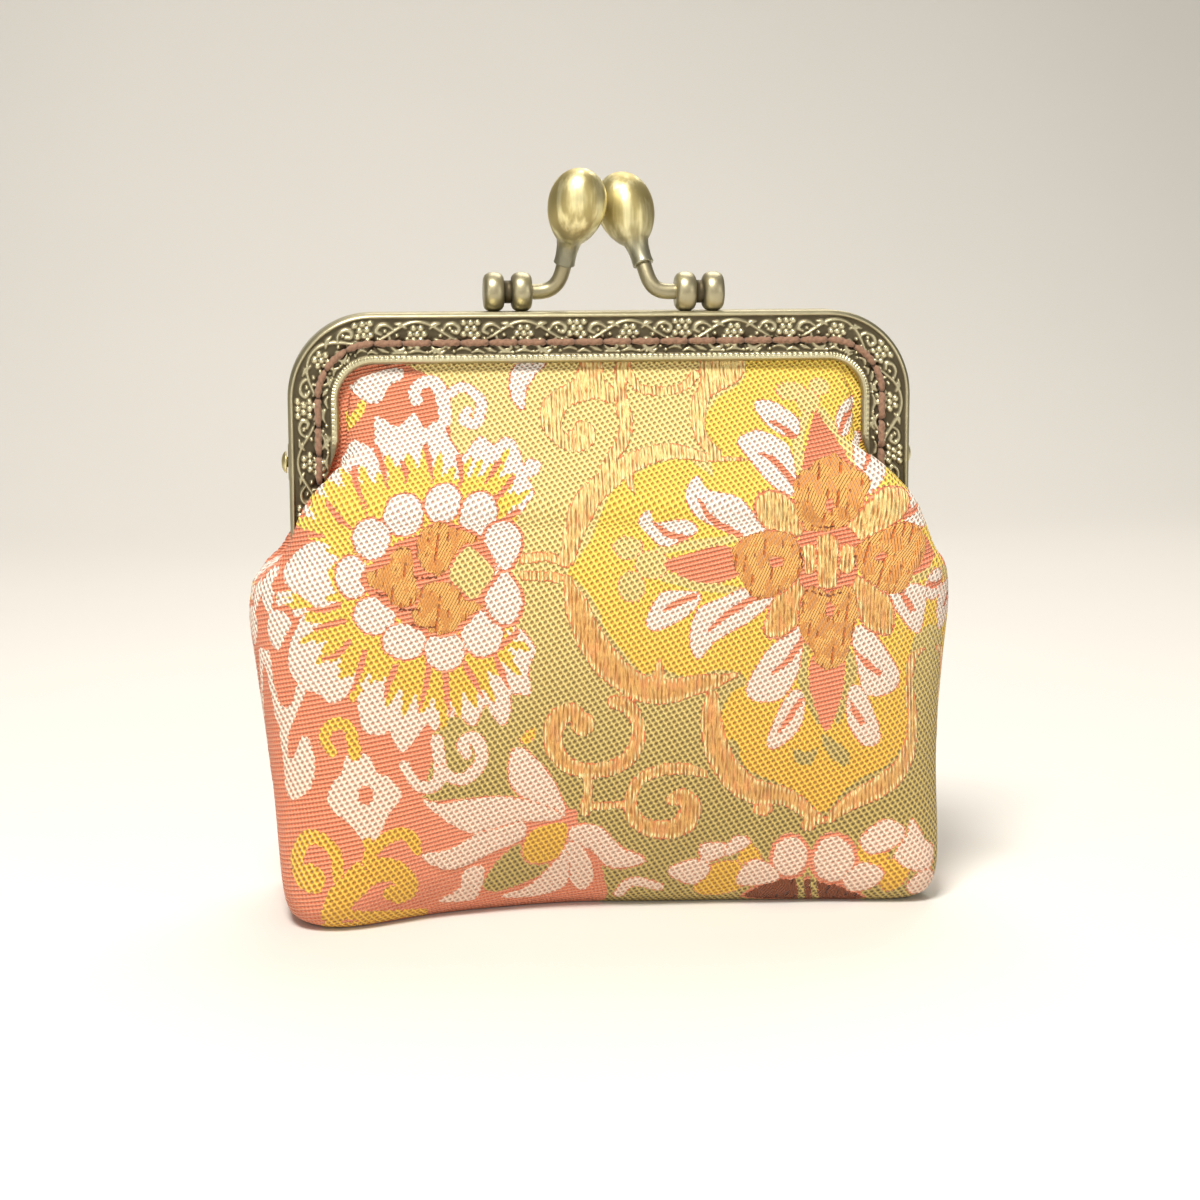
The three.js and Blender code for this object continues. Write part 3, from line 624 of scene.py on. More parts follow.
def karahana_shapes() -> list[Shape]:
    """The four-way flower on the right: orange buds, coral tips, gold and white leaves."""
    olive = strokes(
        Yarn.OLIVE, 0.0,
        ((812, 408, 797, 442, 797, 475), (4, 6, 3)),
        ((826, 410, 841, 440, 848, 470), (4, 5, 3)),
        ((660, 552, 700, 547, 742, 541), (5, 5, 3)),
        ((660, 578, 700, 588, 740, 592), (5, 5, 3)),
        ((806, 648, 802, 675, 818, 722), (4, 6, 3)),
        ((848, 652, 853, 675, 838, 722), (4, 6, 3)),
    )
    olive += ovals(
        Yarn.OLIVE, 2.0,
        (627, 551, 13, 10), (650, 567, 15, 12), (629, 588, 12, 13), (795, 389, 13, 8), (825, 384, 9, 8),
        (812, 400, 11, 11),
    )
    olive += patches(
        Yarn.OLIVE, 0.0,
        (793, 748, 806, 752, 818, 748, 811, 764, 796, 762),
        (820, 735, 832, 738, 850, 755, 845, 766, 830, 756),
    )
    olive += strokes(Yarn.OLIVE, 0.0, ((912, 586, 924, 583, 938, 578), (5, 5, 4)))
    tips = patches(
        Yarn.CORAL, 0.0,
        (819, 411, 831, 430, 839, 452, 846, 476, 830, 463, 815, 467, 802, 481, 801, 462, 809, 437),
        (662, 566, 690, 556, 725, 549, 741, 562, 740, 576, 715, 585, 685, 581),
        (922, 543, 936, 556, 941, 566, 930, 577, 914, 580, 922, 562),
        (812, 656, 832, 668, 846, 658, 844, 690, 838, 712, 826, 732, 816, 710, 809, 683),
    )
    leaves = (
        ((640, 523, 648, 513, 656, 525, 685, 522, 697, 533, 680, 543, 663, 548,
          650, 538), (655, 525, 668, 537, 686, 541)),
        ((686, 500, 694, 481, 706, 496, 741, 505, 770, 536, 735, 537,
          700, 518), (698, 502, 713, 521, 740, 539)),
        ((736, 443, 750, 434, 760, 433, 784, 447, 792, 475, 797, 500, 772, 489,
          752, 467), (757, 455, 775, 466, 793, 488)),
        ((757, 403, 776, 402, 799, 421, 794, 438, 772, 428), (771, 421, 782, 428, 794, 438)),
        ((843, 437, 842, 418, 852, 402, 865, 394, 868, 408, 852, 434), (843, 436, 850, 420, 859, 411)),
        ((848, 463, 857, 446, 880, 434, 889, 446, 881, 470, 861, 500,
          857, 483), (854, 478, 864, 460, 874, 451)),
        ((899, 512, 910, 501, 920, 516, 925, 533, 900, 528), (895, 525, 904, 519, 914, 515)),
        ((644, 622, 658, 597, 678, 594, 698, 597, 684, 615, 655, 629), (660, 612, 675, 604, 693, 597)),
        ((688, 640, 696, 612, 722, 600, 745, 591, 771, 599, 745, 622, 712, 640,
          695, 657), (706, 631, 728, 613, 752, 600)),
        ((745, 690, 764, 655, 788, 635, 801, 627, 797, 668, 782, 695,
          760, 700), (770, 674, 788, 660, 801, 642)),
        ((767, 740, 783, 703, 797, 691, 803, 704, 797, 728, 775, 746), (777, 732, 788, 718, 800, 701)),
        ((855, 640, 862, 630, 881, 643, 904, 677, 895, 694, 868, 693,
          858, 655), (856, 652, 869, 666, 883, 676)),
        ((852, 690, 866, 695, 882, 738, 866, 745, 850, 722), (852, 704, 857, 713, 864, 724)),
        ((895, 602, 910, 592, 930, 594, 936, 612, 929, 638, 908, 620), (906, 597, 913, 606, 921, 615)),
        ((936, 586, 945, 578, 952, 590, 946, 606, 937, 600), (936, 590, 941, 592, 946, 594)),
    )
    white: list[Shape] = []
    for outline, rib in leaves:
        white += patches(Yarn.WHITE, 2.0, outline) + strokes(Yarn.CORAL, 0.0, (rib, (1.6, 3.4, 3.0)))
    gold = patches(
        Yarn.GOLD, 1.5,
        (755, 507, 772, 496, 800, 510, 813, 536, 790, 540, 768, 532),
        (846, 532, 861, 508, 876, 495, 903, 502, 893, 526, 862, 546),
        (804, 581, 806, 595, 799, 624, 780, 638, 762, 634, 772, 602, 786, 588),
        (850, 580, 870, 585, 897, 606, 896, 638, 868, 630, 856, 600),
    )
    heart = patches(
        Yarn.CORAL, 0.0,
        (806, 534, 828, 530, 852, 536, 862, 562, 852, 590, 828, 598, 804, 590, 796, 563),
    )
    heart += patches(
        Yarn.GOLD, 0.0,
        (820, 541, 838, 541, 840, 563, 838, 590, 820, 590, 818, 563),
        (804, 552, 816, 551, 816, 576, 804, 575),
        (843, 551, 855, 552, 855, 575, 843, 576),
    )
    buds = patches(
        Yarn.ORANGE, 2.0,
        (815, 468, 829, 460, 843, 471, 857, 484, 859, 497, 853, 516, 842, 531, 812, 533, 801, 515,
         796, 495, 798, 482),
        (733, 560, 742, 545, 762, 537, 790, 539, 802, 556, 800, 577, 778, 594, 755, 599, 743, 584),
        (857, 556, 872, 542, 896, 530, 914, 536, 926, 556, 915, 579, 907, 596, 888, 595, 866, 578),
        (803, 602, 812, 591, 830, 598, 850, 591, 859, 612, 851, 642, 841, 664, 822, 667, 813, 650,
         800, 630),
    )
    buds += ovals(
        Yarn.CORAL, 0.0,
        (830, 509, 5, 11), (776, 566, 11, 6.5), (881, 563, 8, 6), (831, 614, 7, 11),
    )
    dark = lines(
        Yarn.BROWN, 0.9,
        (815, 530, 828, 532, 840, 530), (801, 558, 803, 566, 801, 575), (858, 557, 856, 566, 859, 574),
        (812, 595, 830, 599, 848, 595),
    )
    return olive + tips + white + gold + heart + buds + dark


def scattered_shapes() -> list[Shape]:
    """Small leaves, scrolls and half flowers between the two large flowers and along the edges."""
    top = patches(
        Yarn.WHITE, 1.5,
        (346, 380, 365, 369, 395, 361, 400, 371, 385, 380, 376, 397, 363, 396, 353, 386),
    )
    top += patches(
        Yarn.YELLOW, 1.5,
        (358, 396, 362, 402, 354, 416, 341, 427, 335, 424, 336, 406, 342, 410, 347, 413, 353, 406),
    )
    top += strokes(
        Yarn.WHITE, 1.5,
        ((413, 396, 411, 388, 416, 380, 425, 376, 434, 380, 440, 400, 441, 418), (5, 5, 5, 6, 5)),
        ((446, 390, 460, 382, 475, 393, 478, 402, 472, 420, 464, 421, 459, 416,
          464, 408), (3.5, 4, 4.5, 4, 3.5)),
    )
    top += patches(
        Yarn.WHITE, 2.5,
        (518, 355, 543, 355, 530, 372, 522, 386, 519, 405, 511, 395, 508, 380),
    )
    top += patches(Yarn.YELLOW, 1.0, (517, 738, 524, 730, 531, 727, 530, 734, 524, 740))
    low = patches(
        Yarn.WHITE, 1.5,
        (256, 660, 263, 660, 267, 690, 278, 712, 290, 708, 297, 688, 304, 693, 291, 722, 283, 740,
         275, 740, 263, 697),
        (275, 730, 283, 730, 284, 758, 290, 764, 297, 750, 303, 738, 311, 752, 313, 772, 308, 790,
         294, 801, 283, 797, 279, 770),
        (347, 755, 367, 755, 373, 771, 385, 776, 398, 792, 386, 810, 374, 834, 364, 838, 352, 823,
         333, 808, 328, 798, 333, 783, 342, 772),
    )
    low += ovals(Yarn.CORAL, 0.0, (364, 793, 7, 10))
    low += strokes(
        Yarn.YELLOW, 1.0,
        ((331, 752, 324, 742, 325, 732, 333, 725, 343, 724, 350, 732, 354, 754), (4, 5, 5)),
        ((340, 886, 338, 868, 336, 853, 328, 842, 316, 836, 305, 840, 296, 860, 304, 880, 316, 884,
          319, 874, 310, 868), (4, 5, 6, 6, 5)),
    )
    low += ovals(Yarn.YELLOW, 0.0, (311, 873, 9, 10))
    low += strokes(
        Yarn.YELLOW, 1.0,
        ((334, 912, 342, 893, 352, 882, 363, 871, 378, 867, 392, 870, 403, 880, 404, 891, 396, 897,
          388, 892), (11, 13, 13, 11, 9, 8, 7)),
    )
    low += strokes(
        Yarn.YELLOW, 0.0,
        ((340, 912, 375, 918, 420, 920), (5, 5, 4)),
        ((366, 838, 368, 850, 366, 864), (4, 4, 4)),
    )
    low += strokes(
        Yarn.YELLOW, 1.0,
        ((366, 860, 370, 848, 380, 838, 392, 832, 404, 833, 416, 849), (5, 5.5, 5)),
    )
    low += strokes(
        Yarn.WHITE, 1.5,
        ((402, 763, 408, 775, 416, 784, 430, 784, 437, 770, 434, 738), (4, 5, 5)),
        ((437, 766, 447, 775, 462, 776, 477, 760, 476, 742, 468, 735, 459, 742,
          463, 751), (4, 5, 5, 4)),
    )
    lotus = patches(
        Yarn.CORAL, 0.0,
        (424, 800, 560, 806, 575, 826, 600, 860, 596, 920, 430, 920, 418, 850),
    )
    lotus += patches(
        Yarn.OLIVE, 0.0,
        (481, 882, 500, 856, 517, 846, 521, 862, 549, 865, 528, 878, 492, 892),
    )
    lotus += patches(
        Yarn.WHITE, 2.5,
        (508, 752, 520, 748, 540, 768, 556, 795, 560, 816, 535, 801, 509, 785),
        (420, 799, 437, 803, 480, 797, 508, 797, 540, 806, 557, 818, 510, 821, 493, 830, 470, 833,
         445, 821),
        (418, 855, 447, 850, 472, 836, 500, 828, 519, 823, 519, 838, 492, 850, 458, 866, 438, 868),
    )
    lotus += patches(Yarn.WHITE, 2.0, (460, 873, 479, 868, 474, 897, 464, 904, 436, 905, 457, 890))
    lotus += patches(
        Yarn.WHITE, 2.5,
        (565, 832, 580, 826, 600, 831, 618, 848, 644, 859, 612, 865, 588, 848, 566, 840),
    )
    lotus += patches(
        Yarn.WHITE, 2.0,
        (563, 845, 580, 848, 593, 873, 584, 890, 570, 876),
        (563, 850, 550, 865, 526, 887, 500, 899, 540, 896, 566, 882),
    )
    lotus += patches(Yarn.YELLOW, 2.5, (524, 838, 540, 827, 563, 826, 557, 853, 540, 861, 522, 858))
    rose = patches(Yarn.YELLOW, 1.5, (704, 876, 718, 862, 742, 862, 746, 884, 720, 896, 700, 890))
    rose += patches(
        Yarn.YELLOW, 1.0,
        (742, 854, 751, 843, 764, 858, 744, 860),
        (856, 852, 866, 842, 884, 850, 880, 862, 858, 861),
        (878, 864, 892, 856, 904, 862, 898, 878, 884, 886),
    )
    rose += patches(Yarn.BROWN, 3.0, (756, 902, 768, 882, 790, 874, 822, 877, 846, 884, 862, 902))
    rose += strokes(
        Yarn.OLIVE, 0.0,
        ((803, 872, 807, 884, 810, 902), (4, 3, 4)),
        ((818, 872, 819, 884, 824, 902), (3, 3, 3)),
    )
    rose += ovals(Yarn.WHITE, 5.0, (793, 855, 16, 16), (836, 857, 18, 19))
    rose += patches(
        Yarn.WHITE, 2.0,
        (743, 873, 755, 859, 773, 863, 782, 876, 748, 882),
        (702, 846, 722, 844, 731, 850, 707, 859),
        (729, 846, 738, 838, 751, 842, 731, 853),
        (672, 867, 695, 859, 712, 865, 698, 881, 678, 875),
    )
    rose += strokes(Yarn.WHITE, 2.0, ((622, 896, 628, 884, 640, 880, 662, 886), (4, 4, 3)))
    rose += patches(
        Yarn.WHITE, 2.0,
        (848, 873, 862, 860, 881, 868, 868, 884, 852, 886),
        (862, 838, 884, 823, 902, 833, 888, 846, 868, 850),
        (893, 855, 905, 838, 912, 824, 922, 842, 934, 850, 922, 866),
        (905, 880, 922, 866, 935, 876, 918, 892),
    )
    return top + low + lotus + rose


@dataclass
class BrocadeChart:
    """The chart, drawn from the photograph: which yarn lies on top at each place of the cloth."""

    # Pixels of the photograph at the panel's sides, at its foot and under the middle of the frame
    left: float = 254.0
    right: float = 946.0
    foot: float = 922.0
    middle: Point = (613.0, 362.0)
    # Pixels for each millimetre of cloth
    pixels_across: float = 7.5
    pixels_down: float = 7.1
    # Shifts of the chart for the slope and sag of the cloth, measured in spans from its heart
    heart: Point = (613.0, 630.0)
    span: Point = (300.0, 250.0)
    highest: float = -0.7
    skew: tuple[float, float, float, float] = (-1.5, -5.0, 9.0, -5.0)
    foot_sag: float = -13.0
    sag_drop: Point = (0.75, 1.1)
    sag_side: Point = (-0.8, -0.2)
    top_pull: float = 10.0
    pull_rise: Point = (0.4, 0.7)
    # How far a ground runs on under its neighbours, how far edges are measured and spots taken at a time
    under: float = 1.0
    reach: float = 14.0
    batch: int = 4000
    shapes: list[Shape] = field(default_factory=list)

    def draw(self) -> "BrocadeChart":
        """Draws every motif in the order in which one lies over another."""
        self.shapes = ground_shapes() + gold_shapes() + chrysanthemum_shapes()
        self.shapes += karahana_shapes() + scattered_shapes()
        return self

    def spots(self, across: np.ndarray, down: np.ndarray, half: Half) -> np.ndarray:
        """Finds the chart's pixels under places of the cloth; past its edges the chart turns back.

        Args:
            across: Millimetres of cloth to the right of the panel's middle.
            down: Millimetres of cloth below the frame.
            half: The panel's half.

        Returns:
            Pixels across and down, one row for each place.
        """
        width = self.right - self.left
        column = self.middle[0] + half.value * across * self.pixels_across - self.left
        column = self.left + width - np.abs(np.mod(column, 2 * width) - width)
        row = self.middle[1] + down * self.pixels_down
        side = (column - self.heart[0]) / self.span[0]
        drop = np.maximum((row - self.heart[1]) / self.span[1], self.highest)
        sag = self.foot_sag * ease(drop, *self.sag_drop) * ease(side, *self.sag_side)
        shift, tilt, stretch, twist = self.skew
        row = row + shift + tilt * side + (stretch + twist * side) * drop + sag
        column = column - self.top_pull * ease(-drop, *self.pull_rise)
        row = self.foot - np.abs(self.foot - row)
        return np.column_stack([column.reshape(-1), row.reshape(-1)])

    def fields(self, spots: np.ndarray) -> dict[Yarn, np.ndarray]:
        """Measures each yarn's edge at spots of the chart.

        Args:
            spots: Pixels across and down.

        Returns:
            For each yarn the distance from its edge in millimetres, below zero where it lies on top.
        """
        far = self.reach
        fields = {yarn: np.full(len(spots), far) for yarn in Yarn if yarn is not Yarn.CORAL}
        for shape in self.shapes:
            line = shape.line()
            margin = far + max(getattr(shape, "halves", (0.0,)))
            near = ((spots > line.min(0) - margin) & (spots < line.max(0) + margin)).all(1)
            chosen = np.flatnonzero(near)
            parts = np.array_split(chosen, len(chosen) // self.batch + 1)
            gap = np.concatenate([shape.distance(spots[part]) for part in parts])
            if shape.rim:
                self._lay(fields, Yarn.CORAL, chosen, gap - shape.rim)
            self._lay(fields, shape.yarn, chosen, gap)
        return {yarn: values / self.pixels_across for yarn, values in fields.items()}

    def _lay(
        self, fields: dict[Yarn, np.ndarray], top: Yarn, chosen: np.ndarray, gap: np.ndarray
    ) -> None:
        """Lays one yarn on top; it runs on a little under those that the finish shows over it."""
        order = list(Yarn)
        for yarn, values in fields.items():
            if yarn is top:
                values[chosen] = np.minimum(values[chosen], gap - self.under * (top in RUNS_UNDER))
            elif order.index(yarn) > order.index(top):
                values[chosen] = np.maximum(values[chosen], -gap)


# Finishes


class Wiring:
    """A hand for wiring the nodes of one material."""

    def __init__(self, name: str) -> None:
        """Starts a material with its own shader."""
        self.material = bpy.data.materials.new(name)
        self.material.use_nodes = True
        self.tree = self.material.node_tree
        self.shader = self.tree.nodes["Principled BSDF"]

    def node(self, kind: str, **settings: object) -> bpy.types.Node:
        """Adds a node and sets its options."""
        node = self.tree.nodes.new(kind)
        for name, value in settings.items():
            setattr(node, name, value)
        return node

    def plug(self, socket: Socket, value: object) -> None:
        """Links a socket to another one, or sets its value."""
        if isinstance(value, bpy.types.NodeSocket):
            self.tree.links.new(value, socket)
        else:
            socket.default_value = value

    def sum(self, operation: str, *values: Value) -> Socket:
        """Works out one sum of numbers.

        Args:
            operation: Blender's name of the sum.
            values: Numbers or sockets.

        Returns:
            The result's socket.
        """
        node = self.node("ShaderNodeMath", operation=operation)
        for socket, value in zip(node.inputs, values):
            self.plug(socket, value)
        return node.outputs[0]

    def stretch(
        self, value: Value, low: float, high: float, start: float = 0.0, stop: float = 1.0
    ) -> Socket:
        """Maps a number smoothly from one range to another.

        Args:
            value: The number.
            low: Where the first range starts.
            high: Where it stops.
            start: Where the second range starts.
            stop: Where it stops.

        Returns:
            The result's socket.
        """
        node = self.node("ShaderNodeMapRange", interpolation_type="SMOOTHSTEP")
        for socket, entry in zip(node.inputs, (value, low, high, start, stop)):
            self.plug(socket, entry)
        return node.outputs[0]

    def attribute(self, name: str) -> Socket:
        """Reads a number stored on the mesh."""
        return self.node("ShaderNodeAttribute", attribute_name=name).outputs["Fac"]

    def place(self) -> Socket:
        """Reads the place in the object."""
        return self.node("ShaderNodeTexCoord").outputs["Object"]

    def noise(
        self, place: Socket, scale: float, detail: float = 3.0, stretch: Triple = (1.0, 1.0, 1.0)
    ) -> Socket:
        """Reads soft noise.

        Args:
            place: Where it is read.
            scale: How fine it is.
            detail: How many finer layers it has.
            stretch: Scale along each axis.

        Returns:
            Noise from 0 to 1.
        """
        mapping = self.node("ShaderNodeMapping")
        self.plug(mapping.inputs["Vector"], place)
        mapping.inputs["Scale"].default_value = stretch
        noise = self.node("ShaderNodeTexNoise")
        self.plug(noise.inputs["Vector"], mapping.outputs[0])
        noise.inputs["Scale"].default_value = scale
        noise.inputs["Detail"].default_value = detail
        return noise.outputs["Fac"]

    def blend(self, share: Value, under: object, over: object, kind: str = "MIX") -> Socket:
        """Lays one colour over another.

        Args:
            share: How much of the upper colour shows.
            under: Lower colour.
            over: Upper colour.
            kind: Blender's name of the way of mixing.

        Returns:
            The mixed colour.
        """
        node = self.node("ShaderNodeMix", data_type="RGBA", blend_type=kind)
        self.plug(node.inputs[0], share)
        self.plug(node.inputs[6], under)
        self.plug(node.inputs[7], over)
        return node.outputs[2]

    def bump(self, height: Socket, distance: float, strength: float) -> None:
        """Roughs the surface up by a height map."""
        node = self.node("ShaderNodeBump")
        self.plug(node.inputs["Height"], height)
        node.inputs["Distance"].default_value = distance
        node.inputs["Strength"].default_value = strength
        self.plug(self.shader.inputs["Normal"], node.outputs[0])

    def set(self, **values: object) -> None:
        """Sets or links the shader's sockets, named with _ for a space."""
        for name, value in values.items():
            self.plug(self.shader.inputs[name.replace("_", " ")], value)


class ClothWiring(Wiring):
    """A hand for wiring a woven cloth, which knows the millimetres across and down it."""

    def __init__(self, name: str) -> None:
        """Starts a material that reads the Cloth map."""
        super().__init__(name)
        apart = self.node("ShaderNodeSeparateXYZ")
        self.plug(apart.inputs[0], self.node("ShaderNodeUVMap", uv_map="Cloth").outputs[0])
        self.across, self.down = apart.outputs[0], apart.outputs[1]

    def turns(self, rate: Point) -> Socket:
        """Angle in a slanting row of threads, from its threads for each millimetre across and down."""
        run = self.sum("MULTIPLY", self.across, 2 * math.pi * rate[0])
        return self.sum("MULTIPLY_ADD", self.down, 2 * math.pi * rate[1], run)

    def rows(self, rate: Point) -> Socket:
        """Waves of a slanting row of threads, from -1 to 1."""
        return self.sum("COSINE", self.turns(rate))

    def threads(self, rate: Point) -> Socket:
        """Reads noise that runs along threads.

        Args:
            rate: How fast it changes for each millimetre across and down.

        Returns:
            Noise from 0 to 1.
        """
        joint = self.node("ShaderNodeCombineXYZ")
        self.plug(joint.inputs[0], self.across)
        self.plug(joint.inputs[1], self.down)
        return self.noise(joint.outputs[0], scale=1.0, detail=2.0, stretch=(*rate, 1.0))

    def fray(self, rate: Point, reach: float) -> Socket:
        """Reads noise along threads that swings about zero."""
        return self.sum("MULTIPLY", self.sum("SUBTRACT", self.threads(rate), 0.5), reach)


@dataclass(frozen=True)
class YarnLook:
    """How one yarn looks in the cloth: its face, its binding dots and how far it stands up."""

    face: Colour
    dots: Colour
    height: float = 0.0


YARN_LOOKS: dict[Yarn, YarnLook] = {
    Yarn.CORAL: YarnLook(paint(255, 166, 128), paint(236, 116, 78)),
    Yarn.OLIVE: YarnLook(paint(250, 232, 156), paint(230, 174, 90), 0.05),
    Yarn.YELLOW: YarnLook(paint(255, 230, 108), paint(252, 172, 46), 0.06),
    Yarn.WHITE: YarnLook(paint(255, 245, 234), paint(255, 186, 162), 0.12),
    Yarn.ORANGE: YarnLook(paint(255, 194, 110), paint(222, 108, 44), 0.18),
    Yarn.GOLD: YarnLook(paint(224, 170, 98), paint(178, 112, 54), 0.10),
    Yarn.BROWN: YarnLook(paint(150, 80, 42), paint(92, 44, 24), 0.08),
}
# Painted shade: looks of the yarns near the base, darker and warmer where the lower cloth turns away from
# the light above
SHADED_LOOKS: dict[Yarn, YarnLook] = {
    Yarn.OLIVE: YarnLook(paint(208, 184, 110), paint(116, 82, 38)),
    Yarn.YELLOW: YarnLook(paint(250, 200, 84), paint(212, 132, 36)),
    Yarn.WHITE: YarnLook(paint(255, 222, 198), paint(238, 158, 130)),
}
RUNS_UNDER = (Yarn.OLIVE, Yarn.YELLOW, Yarn.WHITE)


@dataclass(frozen=True)
class Brocade:
    """Woven brocade: grained grounds, ribbed coral, dashed orange and floating gold threads."""

    # Threads for each millimetre across and down the cloth
    slant: Point = (1.14, -0.77)
    weft: Point = (0.55, 1.50)
    rib: Point = (0.36, 1.70)
    bead: Point = (1.9, -0.40)
    step: Point = (0.80, 0.12)
    twill: Point = (2.4, 1.3)
    counter_twill: Point = (2.6, -0.7)
    floats: Point = (1.9, 0.04)
    # How fast uneven spinning and weaving change for each millimetre across and down the cloth
    fibre: Point = (4.2, 0.55)
    broken_steps: Point = (0.7, 0.45)
    patch: Point = (0.55, 0.40)
    mottle: Point = (0.9, 0.28)
    flecks: Point = (1.5, 1.0)
    ragged: Point = (2.0, 0.8)
    ragged_gold: Point = (2.8, 0.3)
    ragged_blocks: Point = (1.1, 0.8)
    # Soft edge of a yarn and how far each weave frays it, in millimetres
    edge: float = 0.05
    grain_fray: float = 0.15
    thread_fray: float = 0.45
    gold_fray: float = 0.9
    block_fray: float = 1.3
    block_growth: float = 0.25
    # Millimetres down the cloth between which the looks change: painted shade on the lower grounds, and
    # on the gold a painted highlight near the top that deepens lower down
    painted_shading: Point = (14.0, 66.0)
    gold_shading: Point = (10.0, 38.0)
    gold_highlight_fade: Point = (14.0, 40.0)
    pale_gold: Colour = paint(255, 246, 182)
    # Painted highlight: the paler gold near the top, where the cloth faces the light
    lit_gold: Colour = paint(240, 208, 134)
    coral_gold: Colour = paint(232, 154, 98)
    outline: Colour = paint(232, 128, 80)
    deep_orange: Colour = paint(252, 148, 66)
    brown_edge: Colour = paint(150, 74, 36)
    handled: Colour = paint(120, 90, 70)
    fresh: Colour = paint(255, 250, 240)
    # Depth of the weave in metres
    depth: float = 0.00038

    def material(self) -> bpy.types.Material:
        """Wires the cloth's material, laying each yarn over those before it.

        Returns:
            The material, which reads the Cloth map and the yarns' edges from the mesh.
        """
        w = ClothWiring("brocade")
        # dots holds the binding holes together with painted shade on the grains' sides.
        holes, dots, grain = self._grain(w)
        grooves, height = self._ribs(w)
        fibre, strands, gaps = self._strands(w)
        patchy, dashes, blocks = self._blocks(w, fibre)
        fray = w.sum("MULTIPLY_ADD", grain, -self.grain_fray, w.fray(self.ragged, self.thread_fray))
        blocky = w.sum("SUBTRACT", w.fray(self.ragged_blocks, self.block_fray), self.block_growth)
        frays = {Yarn.GOLD: w.fray(self.ragged_gold, self.gold_fray), Yarn.ORANGE: blocky}
        marks = {Yarn.WHITE: holes, Yarn.ORANGE: dashes, Yarn.GOLD: gaps, Yarn.BROWN: dashes}
        rises = {Yarn.ORANGE: blocks, Yarn.GOLD: strands, Yarn.BROWN: blocks}
        colour = self._dyed(w, Yarn.CORAL, grooves)
        shine: Value = 0.0
        for yarn in Yarn:
            if yarn is Yarn.CORAL:
                continue
            own = self._dyed(w, yarn, marks.get(yarn, dots))
            edge = w.sum("ADD", w.attribute(yarn.value), frays.get(yarn, fray))
            share = w.stretch(edge, self.edge, -self.edge)
            if yarn is Yarn.ORANGE:
                own = w.blend(w.sum("MULTIPLY", patchy, 0.45), own, self.deep_orange)
                own = w.blend(w.sum("MULTIPLY", w.stretch(edge, -0.35, -0.1), gaps), own, self.brown_edge)
            if yarn is Yarn.GOLD:
                own = self._gilded(w, own, edge, strands)
                shine = share
            colour = w.blend(share, colour, own)
            lift = w.sum("MULTIPLY", share, w.sum("SUBTRACT", rises.get(yarn, grain), height))
            height = w.sum("ADD", height, lift)
        tone = w.blend(w.noise(w.place(), 90.0, 4.0), self.handled, self.fresh)
        colour = w.blend(0.12, colour, tone, "SOFT_LIGHT")
        # Painted shade: the colour darkens a little in the low places of the weave.
        colour = w.blend(1.0, colour, w.stretch(height, -1.4, 0.4, 0.96, 1.0), "MULTIPLY")
        roughness = w.sum("SUBTRACT", 0.62, w.sum("MULTIPLY", shine, 0.22))
        w.set(Base_Color=colour, Roughness=roughness, Metallic=w.sum("MULTIPLY", shine, 0.12))
        w.set(Sheen_Weight=0.12, Sheen_Roughness=0.4, Specular_IOR_Level=0.4)
        fuzz = w.noise(w.place(), 2600.0, 2.0)
        w.bump(w.sum("MULTIPLY_ADD", fuzz, 0.4, height), self.depth, 1.0)
        return w.material

    def _grain(self, w: ClothWiring) -> tuple[Socket, Socket, Socket]:
        """Grain of the grounds: pits where the slanting rows and the weft cross.

        Args:
            w: The cloth's wiring.

        Returns:
            Small holes, the holes with painted shade spread over the low sides of the grains, and the
            height.
        """
        slant, weft = w.turns(self.slant), w.turns(self.weft)
        crossing = w.sum("COSINE", w.sum("ADD", slant, weft))
        pits = w.sum("MULTIPLY", w.sum("ADD", w.sum("COSINE", weft), crossing), 0.45)
        pits = w.sum("MULTIPLY_ADD", w.sum("COSINE", slant), 0.9, pits)
        holes = w.stretch(pits, 0.6, 1.8)
        # Painted shade: a soft darkening down the sides of each grain, joined to the real holes.
        dots = w.sum("MAXIMUM", holes, w.stretch(pits, -0.9, 0.9, 0.0, 0.55))
        return holes, dots, w.sum("MULTIPLY_ADD", holes, -0.4, w.sum("MULTIPLY", pits, -0.46))

    def _ribs(self, w: ClothWiring) -> tuple[Socket, Socket]:
        """Beaded ribs of the coral ground: the grooves between them and the height."""
        beaded = w.sum("MULTIPLY_ADD", w.rows(self.bead), 0.4, w.rows(self.rib))
        return w.stretch(beaded, 0.0, -1.1), w.sum("MULTIPLY", beaded, 0.55)

    def _strands(self, w: ClothWiring) -> tuple[Socket, Socket, Socket]:
        """Long floating threads of the gold.

        Args:
            w: The cloth's wiring.

        Returns:
            The fibres, the strands that they form and the gaps between those.
        """
        fibre = w.threads(self.fibre)
        strands = w.sum("MULTIPLY_ADD", fibre, 1.7, w.sum("MULTIPLY", w.rows(self.floats), 0.2))
        return fibre, strands, w.stretch(strands, 0.80, 0.45)

    def _blocks(self, w: ClothWiring, fibre: Socket) -> tuple[Socket, Socket, Socket]:
        """Blocks of twill that lean one way or the other, parted by broken steps.

        Args:
            w: The cloth's wiring.
            fibre: Fibres of the threads.

        Returns:
            Which blocks lean the other way, the dark dashes and the height.
        """
        steps = w.stretch(w.rows(self.step), -0.55, -0.95)
        steps = w.sum("MULTIPLY", steps, w.stretch(w.threads(self.broken_steps), 0.50, 0.60))
        patchy = w.stretch(w.threads(self.patch), 0.46, 0.54)
        twill = w.rows(self.twill)
        turned = w.sum("SUBTRACT", w.rows(self.counter_twill), twill)
        twill = w.sum("MULTIPLY_ADD", patchy, turned, twill)
        fine = w.stretch(w.sum("MULTIPLY_ADD", fibre, 2.0, twill), 0.9, -0.6, 0.0, 0.24)
        blocks = w.sum("MULTIPLY_ADD", steps, -1.4, w.sum("MULTIPLY", twill, 0.5))
        return patchy, w.sum("MAXIMUM", steps, fine), blocks

